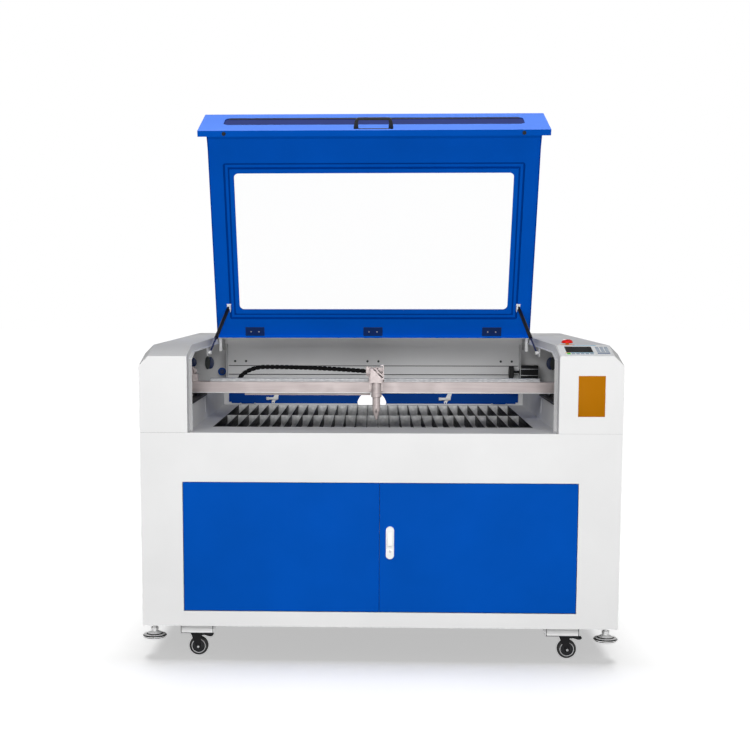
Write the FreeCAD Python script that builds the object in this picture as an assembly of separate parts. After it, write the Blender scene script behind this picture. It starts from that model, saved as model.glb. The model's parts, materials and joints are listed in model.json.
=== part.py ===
import FreeCAD, Part
import math
import os

# Flat-bed laser engraver on castors: open lid, knife-blade bed, moving gantry.
# Millimetres. While building, x runs to the right, y from the front face to the
# back, z up from the floor; save() moves every piece so that the origin is the
# middle of the footprint.

os.makedirs("parts", exist_ok=True)
V = FreeCAD.Vector

# ---- cabinet ---------------------------------------------------------------
W = 1850.0          # width of the cabinet
D = 1540.0          # depth of the cabinet
Z_BASE = 137.0      # underside of the base above the floor
BASE_H = 761.0      # base cabinet, up to the seam under the side covers
COVER_H = 332.0     # side covers above the seam
NOSE_H = 294.0      # upright front of a side cover
NOSE_D = 145.0      # depth of the sloped control face
CUT = 35.0          # chamfer along the outer top edge of a cover
COVER_L = 185.0     # width of the left cover
COVER_R = 244.0     # width of the right cover, with the controls
T = 2.0             # sheet steel
GAP = 0.3           # air between bodies that pass each other
# ---- rebate the lid drops into ---------------------------------------------
RB_F = 60.0         # front strip of a cover's inner wall
RB_T = 30.0         # depth of the rebate below the cover top
RB_W = 12.0         # ledge
# ---- lid -------------------------------------------------------------------
OPEN = 70.0         # opening angle, held by the gas struts
LID_CLR = 1.8       # lid to cover, each side
LIP_FOOT = 7.0      # lip above the front sill when shut
LIP_T = 24.0        # turned edge of the lip
FLANGE = 27.0       # turned edge of the lid
Y_HINGE = 1022.0    # hinge line behind the front face
HINGE_R = 5.0       # hinge barrel
HINGE_W = 87.0
HINGE_X = 538.5     # outer hinges from the middle of the lid
WIN_W = 1207.0      # lid window
WIN_L = 627.0
WIN_Y = 260.0       # window's front edge behind the front face
WIN_R = 20.0
FRAME_B = 18.0      # flat border of the window, then a channel
CHANNEL_W = 27.0
CHANNEL_D = 7.0
PAD_T = 9.0         # inner lining stands off the lid sheet
PANE_T = 5.0
PANE_CLR = 0.2
SLOT_W = 1230.0     # long window in the lip
SLOT_H = 121.0
SLOT_DROP = 68.0    # below the nose edge
PULL_W = 157.0      # pull handle
PULL_OUT = 45.0
PULL_UP = 25.0      # above the foot of the lip
# ---- bay and bed -----------------------------------------------------------
Y_WALL = 1250.0     # rear wall of the bay
SHELF_H = 103.0     # side walls of the bay above the seam
BED_MARGIN = 74.0   # bay wall to the first blade
BED_Y0 = 220.0      # front ends of the blades
BED_L = 996.0
BLADES = 28
BLADE_T = 2.0
BLADE_H = 45.0
BED_Z = 900.0       # cutting edges above the floor
TRAY_H = 130.0      # funnel under the bed
FUNNEL_IN = 150.0
# ---- gantry ----------------------------------------------------------------
NOZ_Y = 400.0       # nozzle behind the front face, as standing
NOZ_X = -13.5       # nozzle from the middle of the machine
NOZ_Z = 911.0       # tip above the floor
BEAM_BACK = 45.0    # beam front face behind the nozzle line
BEAM_D = 45.0
BEAM_H = 48.0
BEAM_Z = 1016.0
RAIL_OFF = 35.0     # y rails outside the bay walls
RAIL_W = 20.0
RAIL_H = 12.0
XRAIL_W = 24.0
XRAIL_H = 14.0
SHAFT_R = 8.0
SHAFT_Y = 1215.0
SHAFT_Z = 985.0
BELT_W = 15.0
BELT_T = 1.5
PULLEY_R = 15.0
DRIVE_R = 25.0
MOTOR = 62.0
# ---- undercarriage ---------------------------------------------------------
FOOT_IN = 37.0      # foot axis inside the cabinet side
FOOT_Y = 60.0
FOOT_R = 47.0
FOOT_Z = 78.0       # foot pads stand clear of the floor
STEM_R = 8.0
FIT = 0.1           # running fit on pins
CAST_IN = 197.0     # castor pivot inside the cabinet side
CAST_Y = 85.0
CAST_H = 100.0      # floor to castor box
WHEEL_R = 37.5
WHEEL_W = 26.0
TRAIL = 12.0
# ---- doors -----------------------------------------------------------------
DOOR_W = 1525.0     # opening for the pair
DOOR_H = 510.0
DOOR_Z = 60.0       # opening above the cabinet underside
DOOR_T = 18.0
DOOR_CLR = 2.2
PIN_IN = 4.0        # pivot pins inside the door corner
PIN_R = 2.0
# ---- exhaust ---------------------------------------------------------------
EX_R = 70.0         # hole in the rear wall
EX_PIPE = 75.0      # outside of the collar, for a 150 mm hose
EX_T = 2.0
EX_OUT = 60.0
EX_Z = 895.0
EX_X = -5.0         # from the middle of the bay

# ---- worked out from the above ---------------------------------------------
Z_SEAM = Z_BASE + BASE_H
Z_TOP = Z_SEAM + COVER_H
Z_NOSE = Z_SEAM + NOSE_H
TAN = (Z_TOP - Z_NOSE) / NOSE_D
SLOPE = math.degrees(math.atan(TAN))
XL = -W / 2 + COVER_L
XR = W / 2 - COVER_R
XC = (XL + XR) / 2
Z_HINGE = Z_TOP - 1.0
LID_END = Y_HINGE - HINGE_R - 1.0
DECK_Y = Y_HINGE + HINGE_R + 1.5
Z_LIP = Z_SEAM + LIP_FOOT
Z_SHELF = Z_SEAM + SHELF_H
BLADE_X0 = XL + BED_MARGIN
BLADE_X1 = XR - BED_MARGIN
PITCH = (BLADE_X1 - BLADE_X0) / (BLADES - 1)
BEAM_Y0 = NOZ_Y + BEAM_BACK
BEAM_Y1 = BEAM_Y0 + BEAM_D
BEAM_Z1 = BEAM_Z + BEAM_H
BLOCK_Z = BEAM_Z1
RAIL_XL = XL - RAIL_OFF
RAIL_XR = XR + RAIL_OFF
BEAM_X0 = RAIL_XL - 25.0
BEAM_X1 = RAIL_XR + 19.0
EXX = XC + EX_X
DRIVE_X = XR - 60.0
MOTOR_Z = SHAFT_Z + 73.5
LOCK_OUT = 20.0
Y_MIN = -LOCK_OUT
Y_MAX = D + T + EX_OUT
Y_MID = (Y_MIN + Y_MAX) / 2


# ---- small builders ----------------------------------------------------------
def box(x0, x1, y0, y1, z0, z1):
    return Part.makeBox(x1 - x0, y1 - y0, z1 - z0, V(x0, y0, z0))


def cyl(r, p, axis, length):
    return Part.makeCylinder(r, length, V(*p), V(*axis))


def tube(r_out, r_in, p, axis, length):
    return cyl(r_out, p, axis, length).cut(cyl(r_in, p, axis, length))


def prism(axis, pts, a, b):
    """Extrude a closed outline: 'x' takes (y, z), 'y' takes (x, z), 'z' takes (x, y)."""
    put = {
        "x": lambda u, v: V(a, u, v),
        "y": lambda u, v: V(u, a, v),
        "z": lambda u, v: V(u, v, a),
    }[axis]
    way = {"x": V(b - a, 0, 0), "y": V(0, b - a, 0), "z": V(0, 0, b - a)}[axis]
    loop = [put(u, v) for u, v in pts]
    return Part.Face(Part.makePolygon(loop + loop[:1])).extrude(way)


def rounded(axis, u0, u1, v0, v1, a, b, r):
    """Block along one axis with its four long edges rounded."""
    blk = prism(axis, [(u0, v0), (u1, v0), (u1, v1), (u0, v1)], a, b)
    i = "xyz".index(axis)
    long = [
        e for e in blk.Edges
        if abs(abs(e.tangentAt(e.FirstParameter)[i]) - 1) < 1e-6
    ]
    return blk.makeFillet(r, long)


def turned(pts, x, y, z=0.0):
    """Revolve an (r, z) outline about an upright axis at x, y."""
    loop = [V(x + r, y, z + h) for r, h in pts]
    face = Part.Face(Part.makePolygon(loop + loop[:1]))
    return face.revolve(V(x, y, 0), V(0, 0, 1), 360)


def fuse(*shapes):
    out = shapes[0]
    if len(shapes) > 1:
        out = out.multiFuse(list(shapes[1:]))
    return out.removeSplitter()


def across(shape):
    """Mirror to the other side of the bay."""
    return shape.mirror(V(XC, 0, 0), V(1, 0, 0))


def flip(shape):
    """Mirror to the other side of the machine."""
    return shape.mirror(V(0, 0, 0), V(1, 0, 0))


def to_back(shape):
    return shape.mirror(V(0, D / 2, 0), V(0, 1, 0))


def opened(shape):
    """Swing a lid piece from shut to its open rest."""
    s = shape.copy()
    s.rotate(V(0, Y_HINGE, Z_HINGE), V(1, 0, 0), -OPEN)
    return s


def on_slope(shape):
    """Tip a piece built flat at the nose edge up onto the sloped face."""
    s = shape.copy()
    s.rotate(V(0, 0, Z_NOSE), V(1, 0, 0), SLOPE)
    return s


def nose(front, top, back, low):
    """Side outline of the covers and lid, moved inwards by front and top."""
    lift = top * math.sqrt(1 + TAN * TAN)
    y1 = (Z_TOP - top - Z_NOSE + lift) / TAN
    return [
        (front, low), (front, Z_NOSE + front * TAN - lift),
        (y1, Z_TOP - top), (back, Z_TOP - top), (back, low),
    ]


def save(name, *shapes):
    solids = [s for shp in shapes for s in shp.Solids]
    out = solids[0] if len(solids) == 1 else Part.makeCompound(solids)
    out = out.copy()
    out.translate(V(0, -Y_MID, 0))
    out.exportStep("parts/" + name + ".step")


# ---- base cabinet ------------------------------------------------------------
def base_cabinet():
    h = W / 2
    body = box(-h, h, 0, D, Z_BASE, Z_SEAM)
    body = body.cut(box(-h + T, h - T, T, D - T, Z_BASE + T, Z_SEAM - T))
    zd = Z_BASE + DOOR_Z
    body = body.cut(box(-DOOR_W / 2, DOOR_W / 2, -1, T + 1, zd, zd + DOOR_H))
    # stop frame behind the door opening
    y0 = DOOR_T + 1.0
    stop = box(-DOOR_W / 2 - 30, DOOR_W / 2 + 30, y0, y0 + T, zd - 30, zd + DOOR_H + 30)
    stop = stop.cut(box(-DOOR_W / 2 + 12, DOOR_W / 2 - 12, 0, 99, zd + 12, zd + DOOR_H - 12))
    rim = box(-DOOR_W / 2 - T, DOOR_W / 2 + T, T, y0, zd - T, zd + DOOR_H + T)
    rim = rim.cut(box(-DOOR_W / 2, DOOR_W / 2, 0, y0 + 1, zd, zd + DOOR_H))
    # the bay floor drops into the top, on a turned shelf
    body = body.cut(box(XL, XR, T, Y_WALL, Z_SEAM - T - 1, Z_SEAM + 1))
    shelf = box(XL - 1, XR + 1, T, Y_WALL + 25, Z_SEAM - 2 * T, Z_SEAM - T)
    shelf = shelf.cut(box(XL + 20, XR - 20, T + 20, Y_WALL - 25, 0, Z_SEAM))
    # opening for the back panel, and for the lower half of the exhaust
    body = body.cut(box(XL + 20, XR - 20, D - T - 1, D + 1, Z_SEAM - 190, Z_SEAM + 1))
    well = box(XL + 25, XR - 25, Y_WALL - 25.1, D - T, Z_SEAM - 2 * T - 1, Z_SEAM + 1)
    body = body.cut(well)
    shelf = shelf.cut(well)
    out = fuse(body, stop, rim, shelf)
    # vents in both sides and low in the back
    cuts = []
    for sx in (-1, 1):
        for k in range(8):
            z = Z_SEAM - 190 - 18 * k
            for y in (0.28 * D, 0.72 * D):
                cuts.append(box(sx * h - T - 1, sx * h + T + 1, y - 70, y + 70, z, z + 6))
    for k in range(8):
        z = Z_BASE + 80 + 18 * k
        for x in (-0.3 * W, 0.3 * W):
            cuts.append(box(x - 90, x + 90, D - T - 1, D + 1, z, z + 6))
    for sx in (-1, 1):
        for y in (FOOT_Y, D - FOOT_Y):
            cuts.append(cyl(STEM_R + 0.6, (sx * (h - FOOT_IN), y, Z_BASE - 1), (0, 0, 1), T + 2))
        for y in (CAST_Y, D - CAST_Y):
            cuts.append(cyl(SHAFT_R + 4, (sx * (h - CAST_IN), y, Z_BASE - 1), (0, 0, 1), T + 2))
    for x in (-1, 1):
        xp = x * (DOOR_W / 2 - DOOR_CLR - PIN_IN)
        cuts.append(cyl(PIN_R + 0.02, (xp, PIN_IN, zd - T - 1), (0, 0, 1), DOOR_H + 2 * T + 2))
    return out.cut(Part.makeCompound(cuts))


def castor_boxes():
    """Box brackets under the base; the inner side of each leans outwards."""
    x = -W / 2 + CAST_IN
    side = [(x - 52, Z_BASE), (x - 52, CAST_H), (x + 76, CAST_H), (x + 94, Z_BASE)]
    one = prism("y", side, CAST_Y - 55, CAST_Y + 80)
    front_left = one.cut(cyl(SHAFT_R + FIT, (x, CAST_Y, CAST_H - 1), (0, 0, 1), 30))
    back_left = to_back(front_left)
    return [front_left, back_left, flip(front_left), flip(back_left)]


def pedal_pin(x):
    return x + 30.0, CAST_H - 14.0


def castor(x, y, braked):
    """Swivelling fork and wheel, pivot at x, y; the wheel trails to +x."""
    top = CAST_H - GAP
    xw = x + TRAIL
    leg_y = WHEEL_W / 2 + 1.0
    disc = turned([(0, top - 7), (24, top - 7), (27, top - 4), (27, top), (0, top)], x, y)
    stem = cyl(SHAFT_R, (x, y, top - 1), (0, 0, 1), 24)
    neck = prism("y", [(x - 20, top - 6), (x + 24, top - 6), (x + 22, top - 15), (x - 18, top - 15)],
                 y - leg_y - 3, y + leg_y + 3)
    legs = []
    for s in (-1, 1):
        y0 = y + leg_y if s > 0 else y - leg_y - 3
        leg = prism("y", [(x - 18, top - 10), (x + 22, top - 10), (xw + 11, WHEEL_R), (xw - 11, WHEEL_R)],
                    y0, y0 + 3)
        legs.append(fuse(leg, cyl(11, (xw, y0, WHEEL_R), (0, 1, 0), 3)))
    axle = cyl(4, (xw, y - leg_y - 5, WHEEL_R), (0, 1, 0), 2 * leg_y + 10)
    nuts = [cyl(7, (xw, y - leg_y - 7, WHEEL_R), (0, 1, 0), 4), cyl(7, (xw, y + leg_y + 3, WHEEL_R), (0, 1, 0), 4)]
    # the crown is relieved over the tyre
    crown = fuse(disc, neck).cut(cyl(WHEEL_R + 1.5, (xw, y - leg_y, WHEEL_R), (0, 1, 0), 2 * leg_y))
    extra = []
    if braked:
        px, pz = pedal_pin(x)
        for s in (-1, 1):
            ear = prism("y", [(x + 15, top - 6), (px + 4, top - 6), (px + 4, pz - 4), (x + 18, pz - 4)],
                        y + s * 14.0 - 1.5, y + s * 14.0 + 1.5)
            extra.append(ear)
        extra.append(cyl(2.5, (px, y - 17, pz), (0, 1, 0), 34))
    fork = fuse(crown, stem, *legs, axle, *nuts, *extra)
    hub_w = WHEEL_W / 2 + 0.6
    half = WHEEL_W / 2
    rim = [(4 + FIT, -hub_w), (9, -hub_w), (11, -half + 4), (26, -half + 4), (28, -half), (34, -half),
           (WHEEL_R, -half + 4), (WHEEL_R, half - 4), (34, half), (28, half), (26, half - 4), (11, half - 4),
           (9, hub_w), (4 + FIT, hub_w)]
    wheel = turned(rim, 0, 0)
    wheel.rotate(V(0, 0, 0), V(1, 0, 0), -90)
    wheel.translate(V(xw, y, WHEEL_R))
    return fork, wheel


def pedal(x, y):
    """Foot brake of a front castor, hinged on a cross pin at the fork crown."""
    px, pz = pedal_pin(x)
    outline = [(px - 4, pz - 3), (px - 4, pz + 3), (px + 6, pz + 6), (px + 18, pz + 1), (px + 30, pz - 2),
               (px + 40, pz + 0), (px + 41, pz - 5), (px + 34, pz - 10), (px + 24, pz - 10), (px + 8, pz - 5)]
    lever = prism("y", outline, y - 12, y + 12)
    lever = lever.makeFillet(2.0, [e for e in lever.Edges if e.BoundBox.YLength > 20 and
                                   e.BoundBox.XMin > px + 20])
    lever = fuse(lever, cyl(5.5, (px, y - 12, pz), (0, 1, 0), 24))
    return lever.cut(cyl(2.5 + FIT, (px, y - 20, pz), (0, 1, 0), 40))


def foot(x, y):
    """Swivel pad, dome, jam nut and threaded stem."""
    z = FOOT_Z
    pad = [(0, z), (FOOT_R - 4, z), (FOOT_R, z + 4), (FOOT_R, z + 7), (FOOT_R - 4, z + 11), (FOOT_R - 14, z + 13),
           (FOOT_R - 18, z + 16), (20, z + 21), (14, z + 24), (12, z + 29), (STEM_R, z + 29), (STEM_R, z + 145),
           (0, z + 145)]
    nut = prism("z", [(x + 15 * math.cos(math.radians(60 * k)), y + 15 * math.sin(math.radians(60 * k)))
                      for k in range(6)], z + 28, z + 39)
    return fuse(turned(pad, x, y), nut)


def foot_nuts():
    out = []
    for sx in (-1, 1):
        for y in (FOOT_Y, D - FOOT_Y):
            x = sx * (W / 2 - FOOT_IN)
            hexa = prism("z", [(x + 15 * math.cos(math.radians(60 * k)), y + 15 * math.sin(math.radians(60 * k)))
                               for k in range(6)], Z_BASE - 11, Z_BASE)
            out.append(hexa.cut(cyl(STEM_R + FIT, (x, y, Z_BASE - 12), (0, 0, 1), 13)))
    return out


# ---- side covers -------------------------------------------------------------
def cover(x_out, x_in):
    """Folded side cover, open below and towards the bay, with the lid rebate."""
    def chamfered(pts, xa, xb, edge_x, size):
        blk = prism("x", pts, xa, xb)
        top = max(p[1] for p in pts)
        lines = [
            e for e in blk.Edges
            if e.BoundBox.XLength < 1e-3 and abs(e.BoundBox.XMin - edge_x) < 1e-3
            and e.BoundBox.YLength > 50 and e.BoundBox.ZMax > top - 1e-3 and e.BoundBox.ZMin > top - 60
        ]
        return blk.makeChamfer(size, lines)
    s = 1 if x_in > x_out else -1
    lo, hi = min(x_out, x_in), max(x_out, x_in)
    outer = chamfered(nose(0, 0, D, Z_SEAM), lo, hi, x_out, CUT)
    xi = x_out + s * T
    pts = nose(T, T, D - T, Z_SEAM - 5)
    hollow = chamfered(pts, min(xi, x_in + s), max(xi, x_in + s), xi, CUT - 0.6 * T)
    skin = outer.cut(hollow)
    # inner strip round the opening and the ledge the lid sits over
    xa, xb = min(x_in - s * T, x_in), max(x_in - s * T, x_in)
    strip = prism("x", nose(0, 0, D, Z_SEAM), xa, xb)
    strip = strip.cut(prism("x", nose(RB_F, RB_T, D - T, Z_SEAM - 5), xa - 1, xb + 1))
    strip = strip.common(outer)
    xa, xb = min(x_in - s * T, x_in + s * RB_W), max(x_in - s * T, x_in + s * RB_W)
    ledge = prism("x", nose(RB_F - T, RB_T - T, LID_END, Z_SEAM), xa, xb)
    ledge = ledge.cut(prism("x", nose(RB_F, RB_T, LID_END + 5, Z_SEAM - 5), xa - 1, xb + 1))
    return fuse(skin, strip, ledge)


# ---- bay ---------------------------------------------------------------------
def bed_rim():
    return BLADE_X0 - 5.0, BLADE_X1 + 5.0, BED_Y0 - 5.0, BED_Y0 + BED_L + 5.0


def bay_liner():
    x0, x1, y0, y1 = bed_rim()
    floor = box(XL + GAP, XR - GAP, T + GAP, Y_WALL - GAP, Z_SEAM - T, Z_SEAM)
    floor = floor.cut(box(x0 - GAP, x1 + GAP, y0 - GAP, y1 + GAP, 0, 2000))
    z_low = BED_Z - BLADE_H
    apron = box(x0 - GAP - T, x1 + GAP + T, y0 - GAP - T, y1 + GAP + T, z_low - 4, Z_SEAM - T)
    apron = apron.cut(box(x0 - GAP, x1 + GAP, y0 - GAP, y1 + GAP, 0, 2000))
    toe = box(x0 - GAP - T, x1 + GAP + T, y0 - GAP - T, y1 + GAP + T, z_low - 4, z_low - 2)
    toe = toe.cut(box(x0 + 14, x1 - 14, y0 + 14, y1 - 14, 0, 2000))
    return fuse(floor, apron, toe)


def bay_side():
    """Left bay wall with its shelf for the rail, a joint bead and a shaft bearing."""
    wall = box(XL - T, XL, RB_F, Y_WALL, Z_SEAM, Z_SHELF)
    shelf = box(XL - RAIL_OFF - 16, XL, RB_F, Y_WALL - GAP, Z_SHELF, Z_SHELF + T)
    bead = box(XL, XL + 1.5, 540, 546, Z_SEAM + 30, Z_SHELF)
    foot_strip = box(XL - 30, XL - T, RB_F, Y_WALL - GAP, Z_SEAM, Z_SEAM + T)
    boss = cyl(SHAFT_R + 11, (XL - T - 8, SHAFT_Y, SHAFT_Z), (1, 0, 0), 10)
    out = fuse(wall, shelf, bead, foot_strip, boss)
    notch = box(XL - T - 9, XL + 1, SHAFT_Y - 19, SHAFT_Y + 19, Z_SHELF + T, Z_SHELF + 30)
    return out.cut(cyl(SHAFT_R + FIT, (XL - 30, SHAFT_Y, SHAFT_Z), (1, 0, 0), 60)).cut(notch)


def rear_wall():
    """Rear wall of the bay in lapped sheets: panel, sill below the flap slot, side
    straps behind, folded band and side flanges in front, exhaust hole."""
    h = W / 2 - T - 1
    s0, s1 = Z_SEAM + 12, Z_SEAM + 45
    y0, y1 = Y_WALL, Y_WALL + T
    panel = fuse(box(-h, h, y0, y1, s1, Z_TOP - CUT - T), box(XL + 26, XR - 26, y0, y1, s1, Z_TOP - T))
    sill = fuse(box(-h, h, y0, y1, Z_SEAM, s0), box(XL + 26, XR - 26, y0, y1, Z_SEAM - 110, s0))
    straps = [box(-h, XL + 40, y1, y1 + T, Z_SEAM + 1, s1 + 14), box(XR - 38, h, y1, y1 + T, Z_SEAM + 1, s1 + 14)]
    band = box(-h + 60, h - 60, y0 - 3, y0, MOTOR_Z - 15.5, MOTOR_Z + 25.5)
    hole = cyl(EX_R, (EXX, Y_WALL - 5, EX_Z), (0, 1, 0), 20)
    pairs = [cyl(5, (XC + dx + e, Y_WALL - 5, MOTOR_Z + 47), (0, 1, 0), 12)
             for dx in (-630, 0, 630) for e in (-26, 26)]
    # the driven shaft of the y motor passes through the right flange
    shaft = cyl(16, (XR - 30, SHAFT_Y, MOTOR_Z), (1, 0, 0), 20)
    flanges = [box(x, x + T, y0 - 70, y0, SHAFT_Z + 22, Z_TOP - 44).cut(band).cut(shaft)
               for x in (XL + 19, XR - 21)]
    return [panel.cut(Part.makeCompound([hole] + pairs)), sill.cut(hole), band] + straps + flanges


def rear_deck():
    x0, x1 = XL + GAP, XR - GAP
    top = box(x0, x1, DECK_Y, D - T - GAP, Z_TOP - T, Z_TOP)
    lip = box(x0, x1, DECK_Y, DECK_Y + T, Z_TOP - 9, Z_TOP)
    out = [top, lip]
    for xa, xf in ((XL + 5, XL + 5), (XR - 7, XR - 17)):
        out.append(box(xa, xa + T, DECK_Y, Y_WALL - GAP, Z_TOP - 67, Z_TOP))
        out.append(box(xf, xf + 12, DECK_Y, DECK_Y + T, Z_TOP - 67, Z_TOP))
    return fuse(*out)


def back_panel():
    """Outside back panel, screwed over the opening, with the exhaust hole."""
    panel = box(XL + 5, XR - 5, D, D + T, Z_SEAM - 200, Z_TOP - 3)
    panel = panel.cut(cyl(EX_PIPE + GAP, (EXX, D - 5, EX_Z), (0, 1, 0), 20))
    cuts = []
    for k in range(10):
        x = XR - 130 - 22 * k
        cuts.append(box(x, x + 8, D - 1, D + T + 1, Z_TOP - 150, Z_TOP - 50))
    return panel.cut(Part.makeCompound(cuts))


def exhaust_duct():
    """Pipe from the rear wall to the hose collar outside, flanged at both walls."""
    y0 = Y_WALL + T
    duct = tube(EX_PIPE, EX_PIPE - EX_T, (EXX, y0, EX_Z), (0, 1, 0), Y_MAX - y0)
    rings = [tube(EX_PIPE + 12, EX_PIPE - 0.5, (EXX, y, EX_Z), (0, 1, 0), T) for y in (y0, D + T)]
    return fuse(duct, *rings)


def chip_funnel():
    """Sheet funnel hung under the bed; offcuts drop through to the cabinet floor."""
    x0, x1, y0, y1 = bed_rim()
    z1 = BED_Z - BLADE_H - 4.0

    def rect(inset, z):
        a, b, c, d = x0 + inset, x1 - inset, y0 + inset, y1 - inset
        return Part.makePolygon([V(a, c, z), V(b, c, z), V(b, d, z), V(a, d, z), V(a, c, z)])

    def solid(d, low, high):
        return Part.makeLoft([rect(FUNNEL_IN + d, z1 - TRAY_H + low), rect(16 + d, z1 + high)], True, True)
    funnel = solid(0, 0, 0).cut(solid(T, -0.01, 0.01))
    rim = box(x0, x1, y0, y1, z1 - T, z1)
    rim = rim.cut(box(x0 + 16 + T, x1 - 16 - T, y0 + 16 + T, y1 - 16 - T, 0, 2000))
    return fuse(funnel, rim)


def comb_y():
    y1 = BED_Y0 + BED_L
    return [BED_Y0 + 3.0, (BED_Y0 + y1) / 2, y1 - 5.0]


def bed_frame():
    """Rim and three slotted cross bars that hold the blades upright."""
    x0, x1, y0, y1 = bed_rim()
    z0, z1 = BED_Z - BLADE_H - 2.0, BED_Z - 2.0
    rim = box(x0, x1, y0, y1, z0, z1)
    rim = rim.cut(box(x0 + T, x1 - T, y0 + T, y1 - T, z0 - 1, z1 + 1))
    bars = []
    for y in comb_y():
        bars.append(box(x0 + 1, x1 - 1, y, y + T, z0, z1))
    shelf = box(x0, x1, y0, BED_Y0, z1 - T, z1)
    out = fuse(rim, *bars, shelf)
    slots = []
    for k in range(BLADES):
        x = BLADE_X0 + k * PITCH
        for y in comb_y():
            slots.append(box(x - BLADE_T / 2 - 0.1, x + BLADE_T / 2 + 0.1, y - 0.5, y + T + 0.5,
                             BED_Z - BLADE_H + 2, BED_Z))
    return out.cut(Part.makeCompound(slots))


def knife_blades():
    out = []
    ys = comb_y()
    for k in range(BLADES):
        x = BLADE_X0 + k * PITCH
        blade = prism("x", [(BED_Y0 + 0.5, BED_Z - BLADE_H + 2), (BED_Y0 + BED_L - 0.5, BED_Z - BLADE_H + 2),
                            (BED_Y0 + BED_L - 0.5, BED_Z), (BED_Y0 + 0.5, BED_Z)],
                      x - BLADE_T / 2, x + BLADE_T / 2)
        edges = [e for e in blade.Edges if e.BoundBox.ZMin > BED_Z - 0.1 and e.BoundBox.YLength > 10]
        out.append(blade.makeChamfer(0.7, edges))
    return out


# ---- y drive -----------------------------------------------------------------
def y_rails():
    out = []
    for x in (RAIL_XL, RAIL_XR):
        prof = [(x - RAIL_W / 2, Z_SHELF + T), (x + RAIL_W / 2, Z_SHELF + T),
                (x + RAIL_W / 2, Z_SHELF + T + 4), (x + RAIL_W / 2 - 3, Z_SHELF + T + 6),
                (x + RAIL_W / 2 - 3, Z_SHELF + T + RAIL_H - 3), (x + RAIL_W / 2 - 1, Z_SHELF + T + RAIL_H),
                (x - RAIL_W / 2 + 1, Z_SHELF + T + RAIL_H), (x - RAIL_W / 2 + 3, Z_SHELF + T + RAIL_H - 3),
                (x - RAIL_W / 2 + 3, Z_SHELF + T + 6), (x - RAIL_W / 2, Z_SHELF + T + 4)]
        out.append(prism("y", prof, RB_F + 20, Y_WALL - 12))
    return out


BELT_OFF = 30.0     # belt middle outside the rail middle
IDLER_Y = 110.0


def loop_belt(x, w, y0, z0, y1, z1, r):
    """Toothed belt round two equal pulleys."""
    a, b = V(x, y0, z0), V(x, y1, z1)
    along = (b - a).normalize()
    side = V(0, -along.z, along.y)
    def ring(rr):
        p = [a + side * rr, b + side * rr, b + along * rr, b - side * rr, a - side * rr, a - along * rr]
        edges = [Part.makeLine(p[0], p[1]), Part.Arc(p[1], p[2], p[3]).toShape(),
                 Part.makeLine(p[3], p[4]), Part.Arc(p[4], p[5], p[0]).toShape()]
        return Part.Face(Part.Wire(edges)).extrude(V(w, 0, 0))
    out = ring(r + BELT_T).cut(ring(r))
    out.translate(V(-w / 2, 0, 0))
    return out


def y_belts():
    out = []
    r = PULLEY_R + 0.05
    for x in (RAIL_XL - BELT_OFF, RAIL_XR + BELT_OFF):
        out.append(loop_belt(x, BELT_W, IDLER_Y, SHAFT_Z, SHAFT_Y, SHAFT_Z, r))
    out.append(loop_belt(DRIVE_X, BELT_W, SHAFT_Y, SHAFT_Z, SHAFT_Y, MOTOR_Z, DRIVE_R + 0.05))
    return out


def pulley(x, r, y, z, bore):
    w = BELT_W / 2 + 1
    core = cyl(r - 0.5, (x - w, y, z), (1, 0, 0), 2 * w)
    a = cyl(r + 2.5, (x - w - 2, y, z), (1, 0, 0), 2)
    b = cyl(r + 2.5, (x + w, y, z), (1, 0, 0), 2)
    out = fuse(core, a, b)
    return out.cut(cyl(bore, (x - w - 3, y, z), (1, 0, 0), 2 * w + 6)) if bore else out


def cross_shaft():
    x0, x1 = RAIL_XL - BELT_OFF - 14, RAIL_XR + BELT_OFF + 14
    shaft = cyl(SHAFT_R, (x0, SHAFT_Y, SHAFT_Z), (1, 0, 0), x1 - x0)
    return fuse(shaft, pulley(RAIL_XL - BELT_OFF, PULLEY_R, SHAFT_Y, SHAFT_Z, 0),
                pulley(RAIL_XR + BELT_OFF, PULLEY_R, SHAFT_Y, SHAFT_Z, 0),
                pulley(DRIVE_X, DRIVE_R, SHAFT_Y, SHAFT_Z, 0))


def front_idler(rail_x, side):
    """Front belt pulley on its bracket; returns bracket and pulley."""
    x = rail_x + side * BELT_OFF
    plates = []
    for e in (-1, 1):
        xa = x + e * (BELT_W / 2 + 5.5) - 1.5
        plates.append(box(xa, xa + 3, IDLER_Y - 12, IDLER_Y + 12, Z_SEAM + 3, SHAFT_Z + 12))
    base = box(x - BELT_W / 2 - 7, x + BELT_W / 2 + 7, IDLER_Y - 30, IDLER_Y + 30, Z_SEAM, Z_SEAM + 3)
    axle = cyl(4, (x - BELT_W / 2 - 8, IDLER_Y, SHAFT_Z), (1, 0, 0), BELT_W + 16)
    return fuse(base, *plates, axle), pulley(x, PULLEY_R, IDLER_Y, SHAFT_Z, 4 + FIT)


def y_motor():
    """Stepping motor on the flange at the right of the rear wall."""
    x0 = XR - 19
    h = MOTOR / 2
    body = rounded("x", SHAFT_Y - h, SHAFT_Y + h, MOTOR_Z - h, MOTOR_Z + h, x0 + 8, x0 + 72, 5)
    caps = [rounded("x", SHAFT_Y - h - 0.8, SHAFT_Y + h + 0.8, MOTOR_Z - h - 0.8, MOTOR_Z + h + 0.8, a, b, 5)
            for a, b in ((x0, x0 + 9), (x0 + 70, x0 + 82))]
    boss = cyl(15, (x0 - 3, SHAFT_Y, MOTOR_Z), (1, 0, 0), 4)
    return fuse(body, *caps, boss).cut(cyl(6, (x0 - 4, SHAFT_Y, MOTOR_Z), (1, 0, 0), 26))


def motor_pulley():
    p = pulley(DRIVE_X, DRIVE_R, SHAFT_Y, MOTOR_Z, 0)
    x0 = DRIVE_X
    return fuse(p, cyl(5.5, (x0, SHAFT_Y, MOTOR_Z), (1, 0, 0), XR - 4 - x0))


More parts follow.
